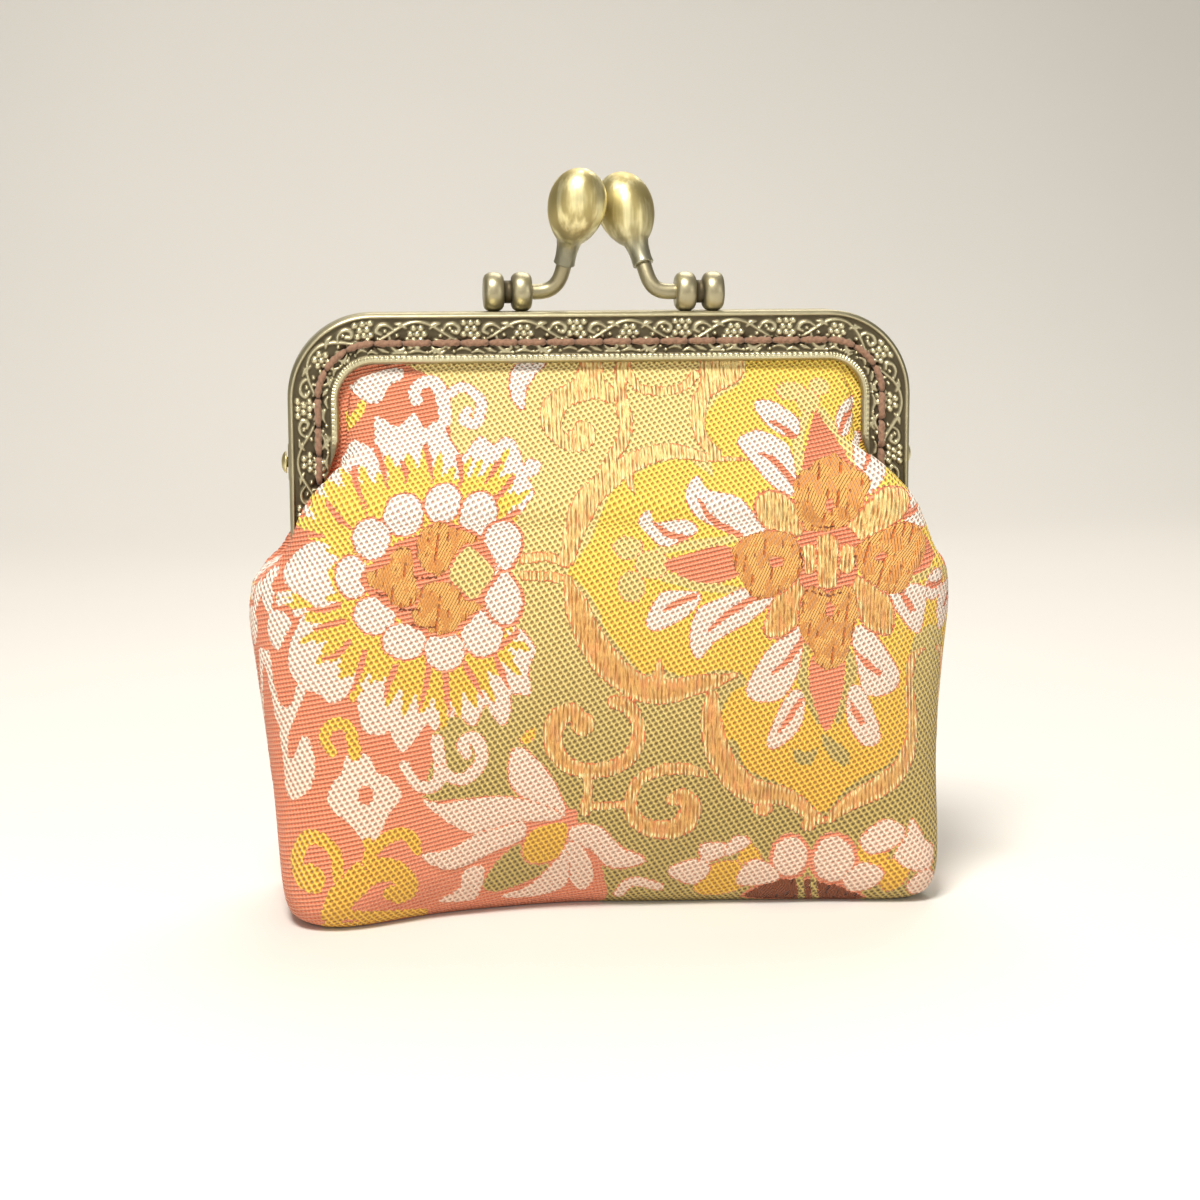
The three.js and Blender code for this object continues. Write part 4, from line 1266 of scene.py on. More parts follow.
    def _dyed(self, w: ClothWiring, yarn: Yarn, mark: Socket) -> Socket:
        """Colours one yarn and its marks; lower down the grounds take painted shade, and the gold has a
        painted highlight near the top.

        Args:
            w: The cloth's wiring.
            yarn: The yarn.
            mark: Where its dark marks lie.

        Returns:
            The yarn's colour.
        """
        face: object = YARN_LOOKS[yarn].face
        dots: object = YARN_LOOKS[yarn].dots
        if yarn in SHADED_LOOKS:
            # Painted shade: the grounds darken and warm towards the base.
            low = w.stretch(w.down, *self.painted_shading)
            face = w.blend(low, face, SHADED_LOOKS[yarn].face)
            dots = w.blend(low, dots, SHADED_LOOKS[yarn].dots)
        # Painted highlight: the gold is paler near the top and deepens lower down.
        if yarn is Yarn.GOLD:
            face = w.blend(w.stretch(w.down, *self.gold_shading), self.lit_gold, face)
        return w.blend(mark, face, dots)

    def _gilded(self, w: ClothWiring, own: Socket, edge: Socket, strands: Socket) -> Socket:
        """Mottles the gold floats, picks out pale threads in them, makes them paler near the top as a
        painted highlight and flecks their outline with coral.

        Args:
            w: The cloth's wiring.
            own: Plain colour of the gold.
            edge: Distance from the gold's edge, below zero inside.
            strands: The floating threads.

        Returns:
            The gold's colour.
        """
        mottle = w.stretch(w.threads(self.mottle), 0.48, 0.66)
        own = w.blend(w.sum("MULTIPLY", mottle, 0.6), own, self.coral_gold)
        side = w.stretch(w.attribute("gold_slope"), -0.4, 0.4, 0.7, 1.0)
        # Painted highlight: pale threads cover more of the gold near the top; the pale ticks at its edges
        # are the weave's own.
        high = w.stretch(w.down, *self.gold_highlight_fade, 0.55, 0.08)
        ends = w.sum("MAXIMUM", w.sum("MULTIPLY", w.stretch(edge, -0.9, -0.4), side), high)
        own = w.blend(w.sum("MULTIPLY", ends, w.stretch(strands, 0.8, 1.05)), own, self.pale_gold)
        flecks = w.stretch(w.threads(self.flecks), 0.44, 0.54)
        rim = w.sum("MULTIPLY", w.stretch(edge, -0.30, -0.10), flecks)
        return w.blend(rim, own, self.outline)


@dataclass(frozen=True)
class AgedBrass:
    """Stamped brass, dark in its recesses and rubbed bright on its raised places."""

    bright: Colour = paint(208, 202, 168)
    plain: Colour = paint(160, 152, 124)
    dark: Colour = paint(88, 80, 62)

    def material(self) -> bpy.types.Material:
        """Wires the material, which reads the height of the stamping from the mesh."""
        w = Wiring("antique_brass")
        relief = w.attribute("relief")
        cloud = w.noise(w.place(), 260.0, 5.0)
        speck = w.noise(w.place(), 1500.0, 3.0)
        worn = w.sum("ADD", relief, w.sum("MULTIPLY", w.sum("SUBTRACT", cloud, 0.5), 0.35))
        colour = w.blend(w.stretch(worn, 0.05, 0.45), self.dark, self.plain)
        colour = w.blend(w.stretch(worn, 0.4, 0.95), colour, self.bright)
        roughness = w.sum("ADD", w.stretch(worn, 0.0, 0.9, 0.52, 0.26), w.sum("MULTIPLY", speck, 0.12))
        w.set(Base_Color=colour, Roughness=roughness, Metallic=0.92)
        w.bump(w.sum("ADD", speck, cloud), 0.00004, 0.5)
        return w.material


@dataclass(frozen=True)
class RubbedBrass:
    """Smooth brass of the knobs and rivets, with bright streaks that are partly rubbed wear and partly
    painted highlight, and greyer towards the foot.
    """

    bright: Colour = paint(252, 243, 190)
    dull: Colour = paint(178, 164, 112)
    foot_grey: Colour = paint(128, 130, 124)
    foot_grey_top: float = 0.0925
    foot_grey_bottom: float = 0.0870
    foot_grey_start: float = 0.0750

    def material(self) -> bpy.types.Material:
        """Wires the material."""
        w = Wiring("polished_brass")
        streak = w.noise(w.place(), 620.0, 3.0, (1.0, 1.0, 0.07))
        cloud = w.noise(w.place(), 240.0, 4.0)
        up = w.node("ShaderNodeSeparateXYZ")
        w.plug(up.inputs[0], w.place())
        # Bright streaks along the axis: partly rubbed brass, partly painted highlight streaks.
        wear_and_highlight = w.sum("ADD", w.sum("MULTIPLY", streak, 0.8), w.sum("MULTIPLY", cloud, 0.25))
        rubbed_and_highlit = w.stretch(wear_and_highlight, 0.44, 0.66)
        colour = w.blend(rubbed_and_highlit, self.dull, self.bright)
        # Greyer towards the foot of the knob.
        foot_level = w.sum("SUBTRACT", up.outputs[2], w.sum("MULTIPLY", cloud, 0.003))
        share = w.stretch(foot_level, self.foot_grey_top, self.foot_grey_bottom, 0.0, 0.75)
        share = w.sum("MULTIPLY", share, w.sum("GREATER_THAN", up.outputs[2], self.foot_grey_start))
        colour = w.blend(share, colour, self.foot_grey)
        w.set(Base_Color=colour, Roughness=w.stretch(wear_and_highlight, 0.4, 0.7, 0.50, 0.36), Metallic=0.95)
        w.bump(streak, 0.00005, 0.5)
        return w.material


@dataclass(frozen=True)
class SewingThread:
    """Twisted brown sewing thread."""

    light: Colour = paint(166, 128, 102)
    dark: Colour = paint(98, 70, 54)

    def material(self) -> bpy.types.Material:
        """Wires the material."""
        w = Wiring("thread")
        fibres = w.noise(w.place(), 2400.0, 3.0)
        w.set(Base_Color=w.blend(fibres, self.dark, self.light), Roughness=0.85, Sheen_Weight=0.2)
        w.bump(fibres, 0.00008, 0.6)
        return w.material


# Frame


@dataclass(frozen=True)
class Arch:
    """The line of the frame: two legs, two round corners and a level top, in millimetres."""

    half_width: float = 42.5
    top: float = 81.0
    corner: float = 11.5
    bar: float = 6.8
    leg_bottom: float = 50.0
    taper_top: float = 64.0
    tip: float = 2.0
    vine_inset: float = 2.3

    @property
    def corner_x(self) -> float:
        """Where the corners start across."""
        return self.half_width - self.corner

    @property
    def corner_z(self) -> float:
        """Where the corners start upwards."""
        return self.top - self.corner

    @property
    def leg(self) -> float:
        """Length of a leg."""
        return self.corner_z - self.leg_bottom

    @property
    def bend(self) -> float:
        """Length of a corner along the vine."""
        return (self.corner - self.vine_inset) * math.pi / 2

    @property
    def length(self) -> float:
        """Length of the whole arch along the vine."""
        return 2 * (self.leg + self.bend + self.corner_x)

    def place(self, along: np.ndarray, inset: np.ndarray) -> tuple[np.ndarray, np.ndarray]:
        """Finds places on the arch.

        Args:
            along: Length along the vine from the foot of the left leg.
            inset: Distance in from the outer edge.

        Returns:
            Places across and upwards.
        """
        side = np.where(along < self.length / 2, -1.0, 1.0)
        near = np.minimum(along, self.length - along)
        angle = np.clip((near - self.leg) / self.bend, 0.0, 1.0) * math.pi / 2
        level = np.maximum(near - self.leg - self.bend, 0.0)
        radius = self.corner - inset
        across = self.corner_x + radius * np.cos(angle) - level
        up = self.leg_bottom + np.minimum(near, self.leg) + radius * np.sin(angle)
        return side * across, up

    def lip(self, along: np.ndarray) -> np.ndarray:
        """Width of the bar, which narrows towards the feet."""
        near = np.minimum(along, self.length - along)
        share = np.clip(near / (self.taper_top - self.leg_bottom), 0.0, 1.0)
        return self.tip + (self.bar - self.tip) * share

    def shift(self, inset: float) -> float:
        """How much longer the vine's line is than the line at an inset, at one corner."""
        return (inset - self.vine_inset) * math.pi / 2

    def along(self, run: np.ndarray, inset: float) -> np.ndarray:
        """Turns lengths along another inset, from the foot of the left leg, into lengths along the vine.

        Args:
            run: Lengths along the line at the inset.
            inset: The line's distance in from the outer edge.

        Returns:
            Lengths along the vine.
        """
        bend = self.bend - self.shift(inset)
        knots = np.cumsum([0.0, self.leg, bend, 2 * self.corner_x, bend, self.leg])
        vine = np.cumsum([0.0, self.leg, self.bend, 2 * self.corner_x, self.bend, self.leg])
        return np.interp(run, knots, vine)


# Ridges beside the vine's stem: length along it and distance in, half widths and rise, in millimetres
TENDRIL = (0.12, 0.2, 0.24, 0.2)
LEAF = (0.10, 0.30, 0.08)
RIDGES = (
    (((4.3, 3.5), (3.6, 4.5), (2.6, 4.9), (1.9, 4.4), (2.2, 3.7), (2.9, 3.8)), TENDRIL, 0.32),
    (((-3.7, 3.2), (-3.5, 4.3), (-2.7, 5.0), (-1.8, 4.7), (-2.0, 4.0)), TENDRIL, 0.32),
    (((3.3, 2.6), (3.9, 1.7), (4.9, 1.5), (5.6, 2.0), (5.3, 2.7), (4.7, 2.5)), TENDRIL, 0.32),
    (((-3.0, 2.3), (-4.0, 1.6), (-5.0, 1.7), (-5.5, 2.4), (-4.9, 2.8)), TENDRIL, 0.32),
    (((1.7, 2.1), (2.3, 1.6), (3.0, 1.45)), LEAF, 0.30),
    (((-1.5, 2.0), (-2.2, 1.6), (-2.9, 1.5)), LEAF, 0.30),
    (((5.4, 4.9), (6.2, 4.6), (7.1, 5.0)), (0.10, 0.28, 0.10), 0.30),
    (((-5.3, 4.6), (-4.6, 4.9), (-3.9, 5.2)), (0.10, 0.28, 0.10), 0.30),
    (((-1.0, 5.25), (0.0, 4.95), (1.0, 5.25)), (0.10, 0.26, 0.10), 0.30),
    (((1.6, 5.3), (2.3, 4.9), (3.1, 5.35), (3.7, 5.0)), (0.10, 0.22, 0.22, 0.10), 0.30),
    (((-3.3, 5.35), (-2.5, 5.2), (-1.7, 5.35)), (0.10, 0.24, 0.10), 0.30),
    (((-7.0, 5.3), (-6.2, 5.0), (-5.4, 5.35)), (0.10, 0.26, 0.10), 0.30),
    (((5.7, 3.4), (6.3, 3.9), (7.0, 4.9)), (0.08, 0.14, 0.1), 0.22),
)
# Rows of the bunches of berries under and over the stem: distance in, and lengths along
UNDER_BUNCH = (
    (2.05, (-0.48, 0.48)), (2.85, (-0.95, 0.0, 0.95)), (3.65, (-1.4, -0.48, 0.48)), (4.45, (-0.95, 0.0)),
)
OVER_BUNCH = (
    (1.35, (0.0, -0.95, 0.95)), (2.15, (-0.48, 0.48)), (2.95, (-0.95, 0.0, 0.95)), (3.65, (0.48,)),
)
# Single berries: length along, distance in and radius
SMALL_BERRIES = (
    (4.2, 4.6, 0.30), (4.9, 5.1, 0.28), (-4.4, 4.2, 0.32), (3.1, 3.1, 0.28), (-2.7, 3.0, 0.30),
    (1.3, 5.2, 0.26), (-1.5, 5.3, 0.26), (-4.3, 2.4, 0.26), (4.4, 2.1, 0.26), (2.3, 5.3, 0.22),
    (-5.3, 3.5, 0.28), (5.2, 3.6, 0.28),
)


@dataclass(frozen=True)
class Stamping:
    """The relief stamped into the frame's outer face, in millimetres."""

    arch: Arch = field(default_factory=Arch)
    rim_inset: float = 0.48
    rim_half: float = 0.22
    rim_rise: float = 0.24
    ground_depth: float = 0.10
    ground_start: Point = (0.62, 0.8)
    ground_stop: Point = (5.5, 5.7)
    tooth: float = 0.74
    tooth_rise: float = 0.30
    teeth_start: Point = (5.65, 5.8)
    teeth_stop: Point = (6.15, 6.3)
    edge_inset: float = 6.45
    edge_half: float = 0.32
    edge_rise: float = 0.26
    taper_loss: float = 0.4
    lip_fade: Point = (0.05, 0.45)
    dimple_depth: float = 0.55
    dimple_spread: float = 0.32
    vine_bottom: float = 54.0
    vine_units: int = 17
    stem_inset: float = 2.7
    stem_swing: float = 1.5
    stem_half: float = 0.17
    stem_rise: float = 0.32
    stem_reach: float = 8.0
    stem_points: int = 33
    flank: Point = (-0.16, 0.12)
    berry: float = 0.46
    berry_rise: float = 0.42
    batches: int = 12

    def height(
        self, along: np.ndarray, inset: np.ndarray, lip: np.ndarray, holes: Sequence[Point]
    ) -> np.ndarray:
        """Works out the relief: a rim, the vine on its ground, a toothed border and dimples at the holes.

        Args:
            along: Length along the vine.
            inset: Distance in from the outer edge.
            lip: Width of the bar there.
            holes: Length along and distance in of each sewing hole.

        Returns:
            Height over the plain face in millimetres.
        """
        rim = self.rim_rise * self._bead(inset, self.rim_inset, self.rim_half)
        sunk = ease(inset, *self.ground_start) * (1.0 - ease(inset, *self.ground_stop))
        height = rim - self.ground_depth * sunk + self.vine(along, inset)
        teeth = np.sqrt(np.abs(np.sin(math.pi * along / self.tooth)))
        row = ease(inset, *self.teeth_start) * (1.0 - ease(inset, *self.teeth_stop))
        edge = self._bead(inset, self.edge_inset, self.edge_half)
        whole = ease(lip, self.arch.bar - self.taper_loss, self.arch.bar)
        height += whole * (self.tooth_rise * row * teeth + self.edge_rise * edge)
        height *= ease(lip - inset, *self.lip_fade)
        for hole_along, hole_inset in holes:
            away = (along - hole_along) ** 2 + (inset - hole_inset) ** 2
            height -= self.dimple_depth * np.exp(-away / self.dimple_spread)
        return height

    @staticmethod
    def _bead(inset: np.ndarray, middle: float, half: float) -> np.ndarray:
        """Round section of a bead that runs along the bar, from 0 to 1."""
        return np.sqrt(np.clip(1.0 - ((inset - middle) / half) ** 2, 0.0, None))

    def vine(self, along: np.ndarray, inset: np.ndarray) -> np.ndarray:
        """Works out the scrolling vine with tendrils, leaves and berries, which repeats along the bar.

        Args:
            along: Length along the vine.
            inset: Distance in from the outer edge.

        Returns:
            Height over the ground in millimetres.
        """
        start = self.vine_bottom - self.arch.leg_bottom
        pair = 2 * (self.arch.length - 2 * start) / self.vine_units
        step = (along - start) / pair
        local = (step - np.floor(step) - 0.5) * pair
        spots = np.column_stack([local.reshape(-1), inset.reshape(-1)])
        reads = np.linspace(-self.stem_reach, self.stem_reach, self.stem_points)
        sway = self.stem_inset - self.stem_swing * np.cos(2 * math.pi * reads / pair)
        stem = (tuple(zip(reads, sway)), (self.stem_half, self.stem_half), self.stem_rise)
        berries = [(x, y, self.berry) for y, row in UNDER_BUNCH for x in row]
        for side in (-pair / 2, pair / 2):
            berries += [(side + x, y, self.berry) for y, row in OVER_BUNCH for x in row]
        height = np.zeros(len(spots))
        for route, halves, rise in (stem, *RIDGES):
            line = smooth_line(route, closed=False)
            width = np.interp(np.linspace(0, 1, len(line)), np.linspace(0, 1, len(halves)), halves)
            parts = np.array_split(spots, self.batches)
            gap = np.concatenate([gap_to_line(part, line, width) for part in parts])
            height = np.maximum(height, rise * ease(-gap, *self.flank))
        for x, y, radius in (*berries, *SMALL_BERRIES):
            away = ((spots - np.array([x, y])) ** 2).sum(1) / radius**2
            height = np.maximum(height, self.berry_rise * np.sqrt(np.clip(1.0 - away, 0.0, None)))
        return height.reshape(along.shape) * (along > start) * (along < self.arch.length - start)


@dataclass
class FrameHalf:
    """One half of the clasp frame: a channel of stamped sheet with hinge ears, stitches, arm and knob."""

    half: Half
    spool_x: float
    foot: Triple
    bead: Triple
    arch: Arch = field(default_factory=Arch)
    stamping: Stamping = field(default_factory=Stamping)
    # Folded sheet, in millimetres, and how finely it is laid out
    outer_face: float = 3.55
    inner_face: float = 0.04
    sheet: float = 0.8
    round: float = 0.4
    lip_round: float = 0.2
    rows: int = 900
    face_columns: int = 58
    # How rubbed the brass is: relief that looks dark, relief from dark to bright, and bare places
    dark_relief: float = -0.14
    relief_span: float = 0.5
    plain_wear: float = 0.55
    wire_wear: float = 0.46
    spool_wear: Point = (0.05, 0.58)
    # Sewing
    stitch_inset: float = 4.0
    stitch_count: int = 25
    leg_stitches: int = 2
    thread: float = 0.45
    # Hinge ears
    hinge_z: float = 61.0
    ear_radius: float = 2.6
    ear_chamfer: float = 0.2
    ear_proud: float = 0.1
    ear_inset: float = 1.6
    # Spool and wire
    ring: float = 2.7
    ring_length: float = 2.8
    ring_fullness: float = 0.68
    neck: float = 1.55
    half_neck: float = 0.5
    spool_sink: float = 0.1
    wire: float = 1.05
    wire_run: float = 0.7
    knee_reach: float = 2.5
    heel_reach: float = 2.2
    wire_overlap: float = 0.5
    # Knob, with radius and height of each point of its ferrule
    knob_gap: float = 0.3
    ferrule: tuple[Point, ...] = (
        (1.40, 0.0), (1.46, 0.08), (1.42, 0.3), (1.40, 1.0), (1.44, 1.8), (1.52, 2.45),
    )
    olive_start: float = 2.4
    olive_length: float = 11.1
    olive_radius: float = 3.95
    olive_swell: float = 1.2

    def build(
        self, brass: bpy.types.Material, bright: bpy.types.Material, thread: bpy.types.Material
    ) -> None:
        """Builds and dresses the pieces of this half.

        Args:
            brass: Finish of the frame.
            bright: Finish of the knob.
            thread: Finish of the stitches.
        """
        name = self.half.label
        parts = [self.channel(), *self.ears(), self.spool(), self.bent_wire()]
        add_piece(joined_mesh(f"{name}_clasp_frame", parts), brass, "antique_brass", f"{name}_frame")
        add_piece(self.knob(), bright, "polished_brass", f"{name}_clasp_bead")
        add_piece(self.stitches(), thread, "thread")

    def holes(self) -> np.ndarray:
        """Places of the sewing holes along the vine, from the left leg to the right one."""
        arch = self.arch
        first = arch.taper_top - arch.leg_bottom
        bend = arch.bend - arch.shift(self.stitch_inset)
        line = 2 * (arch.corner_z - arch.taper_top + arch.corner_x + bend)
        index = np.arange(-self.leg_stitches, self.stitch_count + self.leg_stitches)
        return arch.along(first + line * (index + 0.5) / self.stitch_count, self.stitch_inset)

    def section(self) -> np.ndarray:
        """Draws the folded sheet's section, once round from the lip of the outer face.

        Returns:
            Share of the bar's width, distance in and depth of each point.
        """
        face = np.linspace(0.0, 1.0, self.face_columns)
        turn = np.linspace(0.0, math.pi / 2, 5)
        run = np.linspace(0.0, 1.0, 4)
        out, inn, sheet = self.outer_face, self.inner_face, self.sheet
        r, lip_r = self.round, self.lip_round
        corner = out - r
        points = [(1 - k, -lip_r * (1 - k) + r * k, out) for k in face]
        points += [(0.0, r - r * math.sin(a), corner + r * math.cos(a)) for a in turn[1:]]
        points += [(0.0, 0.0, corner + (inn + r - corner) * k) for k in run[1:]]
        points += [(0.0, r - r * math.cos(a), inn + r - r * math.sin(a)) for a in turn[1:]]
        points += [(k, r * (1 - k) - lip_r * k, inn) for k in run[1:]]
        points += [(1.0, 0.0, inn + lip_r), (1.0, 0.0, inn + sheet - lip_r)]
        points += [(1 - k, -lip_r * (1 - k) + sheet * k, inn + sheet) for k in run]
        points += [(k, sheet * (1 - k) - lip_r * k, out - sheet) for k in run]
        points += [(1.0, 0.0, out - sheet + lip_r), (1.0, 0.0, out - lip_r), points[0]]
        return np.array(points)

    def channel(self) -> bpy.types.Mesh:
        """Sweeps the folded sheet round the arch and stamps its outer face.

        Returns:
            The closed mesh with the relief stored on it.
        """
        table = self.section()
        along = np.linspace(0.0, self.arch.length, self.rows)[:, None]
        lip = self.arch.lip(along)
        inset = table[None, :, 0] * lip + table[None, :, 1]
        along = np.broadcast_to(along, inset.shape)
        height = np.zeros(inset.shape)
        front = slice(0, self.face_columns)
        wide = np.broadcast_to(lip, inset.shape)[:, front]
        holes = [(hole, self.stitch_inset) for hole in self.holes()]
        height[:, front] = self.stamping.height(along[:, front], inset[:, front], wide, holes)
        height[:, -1] = height[:, 0]
        across, up = self.arch.place(along, inset)
        depth = -(table[None, :, 2] + height)
        mesh = laid_mesh("channel", self.half.turned(np.stack([across, depth, up], axis=2)))
        shown = np.clip((height - self.dark_relief) / self.relief_span, 0.0, 1.0)
        shown[:, self.face_columns:-1] = self.plain_wear
        add_attribute(mesh, "relief", shown)
        close_mesh(mesh)
        return mesh

    def ears(self) -> list[bpy.types.Mesh]:
        """Round hinge ears: one in line with the web on the right, one inside it on the left.

        Returns:
            The ears' meshes.
        """
        half_sheet, small = self.sheet / 2, self.ear_radius - self.ear_chamfer
        straight = half_sheet - self.ear_chamfer
        profile = (
            (0.0, -half_sheet), (small, -half_sheet), (self.ear_radius, -straight),
            (self.ear_radius, straight), (small, half_sheet), (0.0, half_sheet),
        )
        ears = []
        right = self.arch.half_width - half_sheet + self.ear_proud
        for middle in (right, self.ear_inset - self.arch.half_width):
            turn = Matrix.Translation((self.half.value * middle, 0.0, self.hinge_z))
            mesh = spun_mesh("ear", profile, 40, turn @ Matrix.Rotation(math.pi / 2, 4, "Y"))
            add_attribute(mesh, "relief", np.full(len(mesh.vertices), self.plain_wear))
            ears.append(mesh)
        return ears

    def spool_middle(self) -> np.ndarray:
        """Middle of the spool on top of the bar, before the half is turned."""
        level = self.arch.top + self.ring - self.spool_sink
        return np.array([self.spool_x, -(self.outer_face + self.inner_face) / 2, level])

    def spool(self) -> bpy.types.Mesh:
        """Two round rings with a narrow waist between them, lying on the bar.

        Returns:
            The mesh, worn bright on its rings and dark in its waist.
        """
        end = self.half_neck + self.ring_length
        profile: list[Point] = [(0.0, -end)]
        for start in (-end, self.half_neck):
            for angle in np.linspace(0.0, math.pi, 13):
                swell = self.neck + (self.ring - self.neck) * math.sin(angle) ** self.ring_fullness
                profile.append((swell, start + self.ring_length * (1 - math.cos(angle)) / 2))
        profile.append((0.0, end))
        place = Vector(self.half.turned(self.spool_middle()))
        turn = Matrix.Translation(place) @ Matrix.Rotation(math.pi / 2, 4, "Y")
        mesh = spun_mesh("spool", profile, 48, turn)
        spots = np.array([vert.co for vert in mesh.vertices]) / MM - np.array(place)
        waist = np.abs(spots[:, 0]) < self.half_neck + self.ring_length / 4
        worn = np.interp(np.hypot(spots[:, 1], spots[:, 2]), (self.neck, self.ring), self.spool_wear)
        add_attribute(mesh, "relief", np.where(waist, worn, self.spool_wear[1]))
        return mesh

    def bent_wire(self) -> bpy.types.Mesh:
        """The wire that leaves the spool level and bends up to the knob.

        Returns:
            The closed mesh.
        """
        middle = self.spool_middle()
        end = middle - np.array([self.half_neck + self.ring_length, 0.0, 0.0])
        start = end + np.array([self.ring_length / 2, 0.0, 0.0])
        bend = end - np.array([self.wire_run, 0.0, 0.0])
        foot = np.array(self.foot)
        rise = np.array(self.bead) - foot
        rise /= np.linalg.norm(rise)
        knee, heel = bend - np.array([self.knee_reach, 0.0, 0.0]), foot - rise * self.heel_reach
        t = np.linspace(0.0, 1.0, 33)[:, None]
        curve = (1 - t) ** 3 * bend + 3 * (1 - t) ** 2 * t * knee
        curve += 3 * (1 - t) * t**2 * heel + t**3 * foot
        level = np.linspace(start, bend, 8, endpoint=False)
        line = np.vstack([level, curve, foot + rise * self.wire_overlap])
        radii = np.full(len(line), self.wire)
        mesh = laid_mesh("wire", self.half.turned(tube_places(line, radii, 28)))
        close_mesh(mesh)
        add_attribute(mesh, "relief", np.full(len(mesh.vertices), self.wire_wear))
        return mesh

    def knob(self) -> bpy.types.Mesh:
        """The olive knob on its ferrule.

        Returns:
            The closed mesh.
        """
        base = self.knob_gap + self.olive_start
        profile: list[Point] = [(0.0, self.knob_gap)]
        profile += [(radius, self.knob_gap + height) for radius, height in self.ferrule]
        for share in np.linspace(0.0, 1.0, 44)[2:-1]:
            rise = (1.0 - math.cos(math.pi * share)) / 2
            around = 1.0 - (2 * rise**self.olive_swell - 1.0) ** 2
            bulge = self.olive_radius * math.sqrt(max(around, 0.0))
            if bulge > profile[-1][0] or rise > 0.5:
                profile.append((bulge, base + self.olive_length * rise))
        profile.append((0.0, base + self.olive_length))
        foot = Vector(self.half.turned(np.array(self.foot)))
        way = (Vector(self.half.turned(np.array(self.bead))) - foot).normalized()
        turn = Matrix.Translation(foot) @ way.to_track_quat("Z", "Y").to_matrix().to_4x4()
        return spun_mesh(f"{self.half.label}_knob", profile, 64, turn)

    def stitches(self) -> bpy.types.Mesh:
        """Twisted thread that lies from hole to hole along the bar.

        Returns:
            The joined mesh of all stitches.
        """
        holes = self.holes()
        steps, sides, ply, twist_depth = 17, 12, 1.15, 0.16
        margin, dip_start, dip_end, dip, proud, pinch = 0.02, 0.36, 0.5, 0.85, 0.22, 0.35
        share = np.linspace(0.0, 1.0, steps)
        angle = np.linspace(0.0, 2 * math.pi, sides, endpoint=False)
        stitches = []
        for start, stop in zip(holes, holes[1:]):
            along = start + (stop - start) * (margin + (1.0 - 2 * margin) * share)
            across, up = self.arch.place(along, np.full(steps, self.stitch_inset))
            sink = ease(np.abs(share - 0.5), dip_start, dip_end)
            line = np.column_stack([across, dip * sink - self.outer_face - proud, up])
            twist = 2 * math.pi * (along - start)[:, None] / ply
            swell = 1.0 + twist_depth * np.cos(2 * angle[None] - twist)
            radii = self.thread * swell * (1.0 - pinch * sink)[:, None]
            mesh = laid_mesh("stitch", self.half.turned(tube_places(line, radii, sides)))
            close_mesh(mesh)
            stitches.append(mesh)
        return joined_mesh(f"{self.half.label}_stitching", stitches)


@dataclass(frozen=True)
class Rivet:
    """A hinge rivet: a domed head outside the leg, a pin and a small foot inside."""

    name: str
    side: int
    hinge_z: float = 61.0
    head_face: float = 42.8
    head_radius: float = 1.5
    head_rise: float = 0.7
    pin_radius: float = 0.7
    foot_face: float = 40.2
    foot_radius: float = 1.3
    foot_rise: float = 0.4

    def build(self, bright: bpy.types.Material) -> None:
        """Builds and dresses the rivet.

        Args:
            bright: Its finish.
        """
        foot_end = self.foot_face - self.foot_rise
        profile: list[Point] = [
            (0.0, foot_end), (self.foot_radius, foot_end), (self.foot_radius, self.foot_face),
            (self.pin_radius, self.foot_face), (self.pin_radius, self.head_face),
            (self.head_radius, self.head_face),
        ]
        for angle in np.linspace(0.0, math.pi / 2, 9)[1:-1]:
            across, up = self.head_radius * math.cos(angle), self.head_rise * math.sin(angle)
            profile.append((across, self.head_face + up))
        profile.append((0.0, self.head_face + self.head_rise))
        place = Matrix.Translation((0.0, 0.0, self.hinge_z))
        turn = place @ Matrix.Rotation(self.side * math.pi / 2, 4, "Y")
        add_piece(spun_mesh(f"{self.name}_head", profile, 40, turn), bright, "polished_brass", self.name)


# Cloth


@dataclass(frozen=True)
class Fold:
    """A soft dent or swelling: where it lies, how far it reaches and how far it pushes the cloth."""

    x: float
    z: float
    reach_x: float
    reach_z: float
    forward: float
    sideways: float


FRONT_FOLDS = (
    Fold(-39, 0, 13, 17, 7.4, -0.8),
    Fold(42, 0, 11, 18, 4.0, 2.0),
    Fold(-4, 0, 17, 9, -2.6, 0),
    Fold(36, 60, 6, 9, 0.8, 2.2),
    Fold(44, 51, 7, 6, 0.6, 2.2),
    Fold(-44, 47, 5, 7, -0.8, 0),
)
BACK_FOLDS = (
    Fold(-38, 0, 13, 17, 2.6, -0.8),
    Fold(39, 0, 13, 17, 3.4, 0.8),
    Fold(2, 29, 26, 17, 1.7, 0),
)


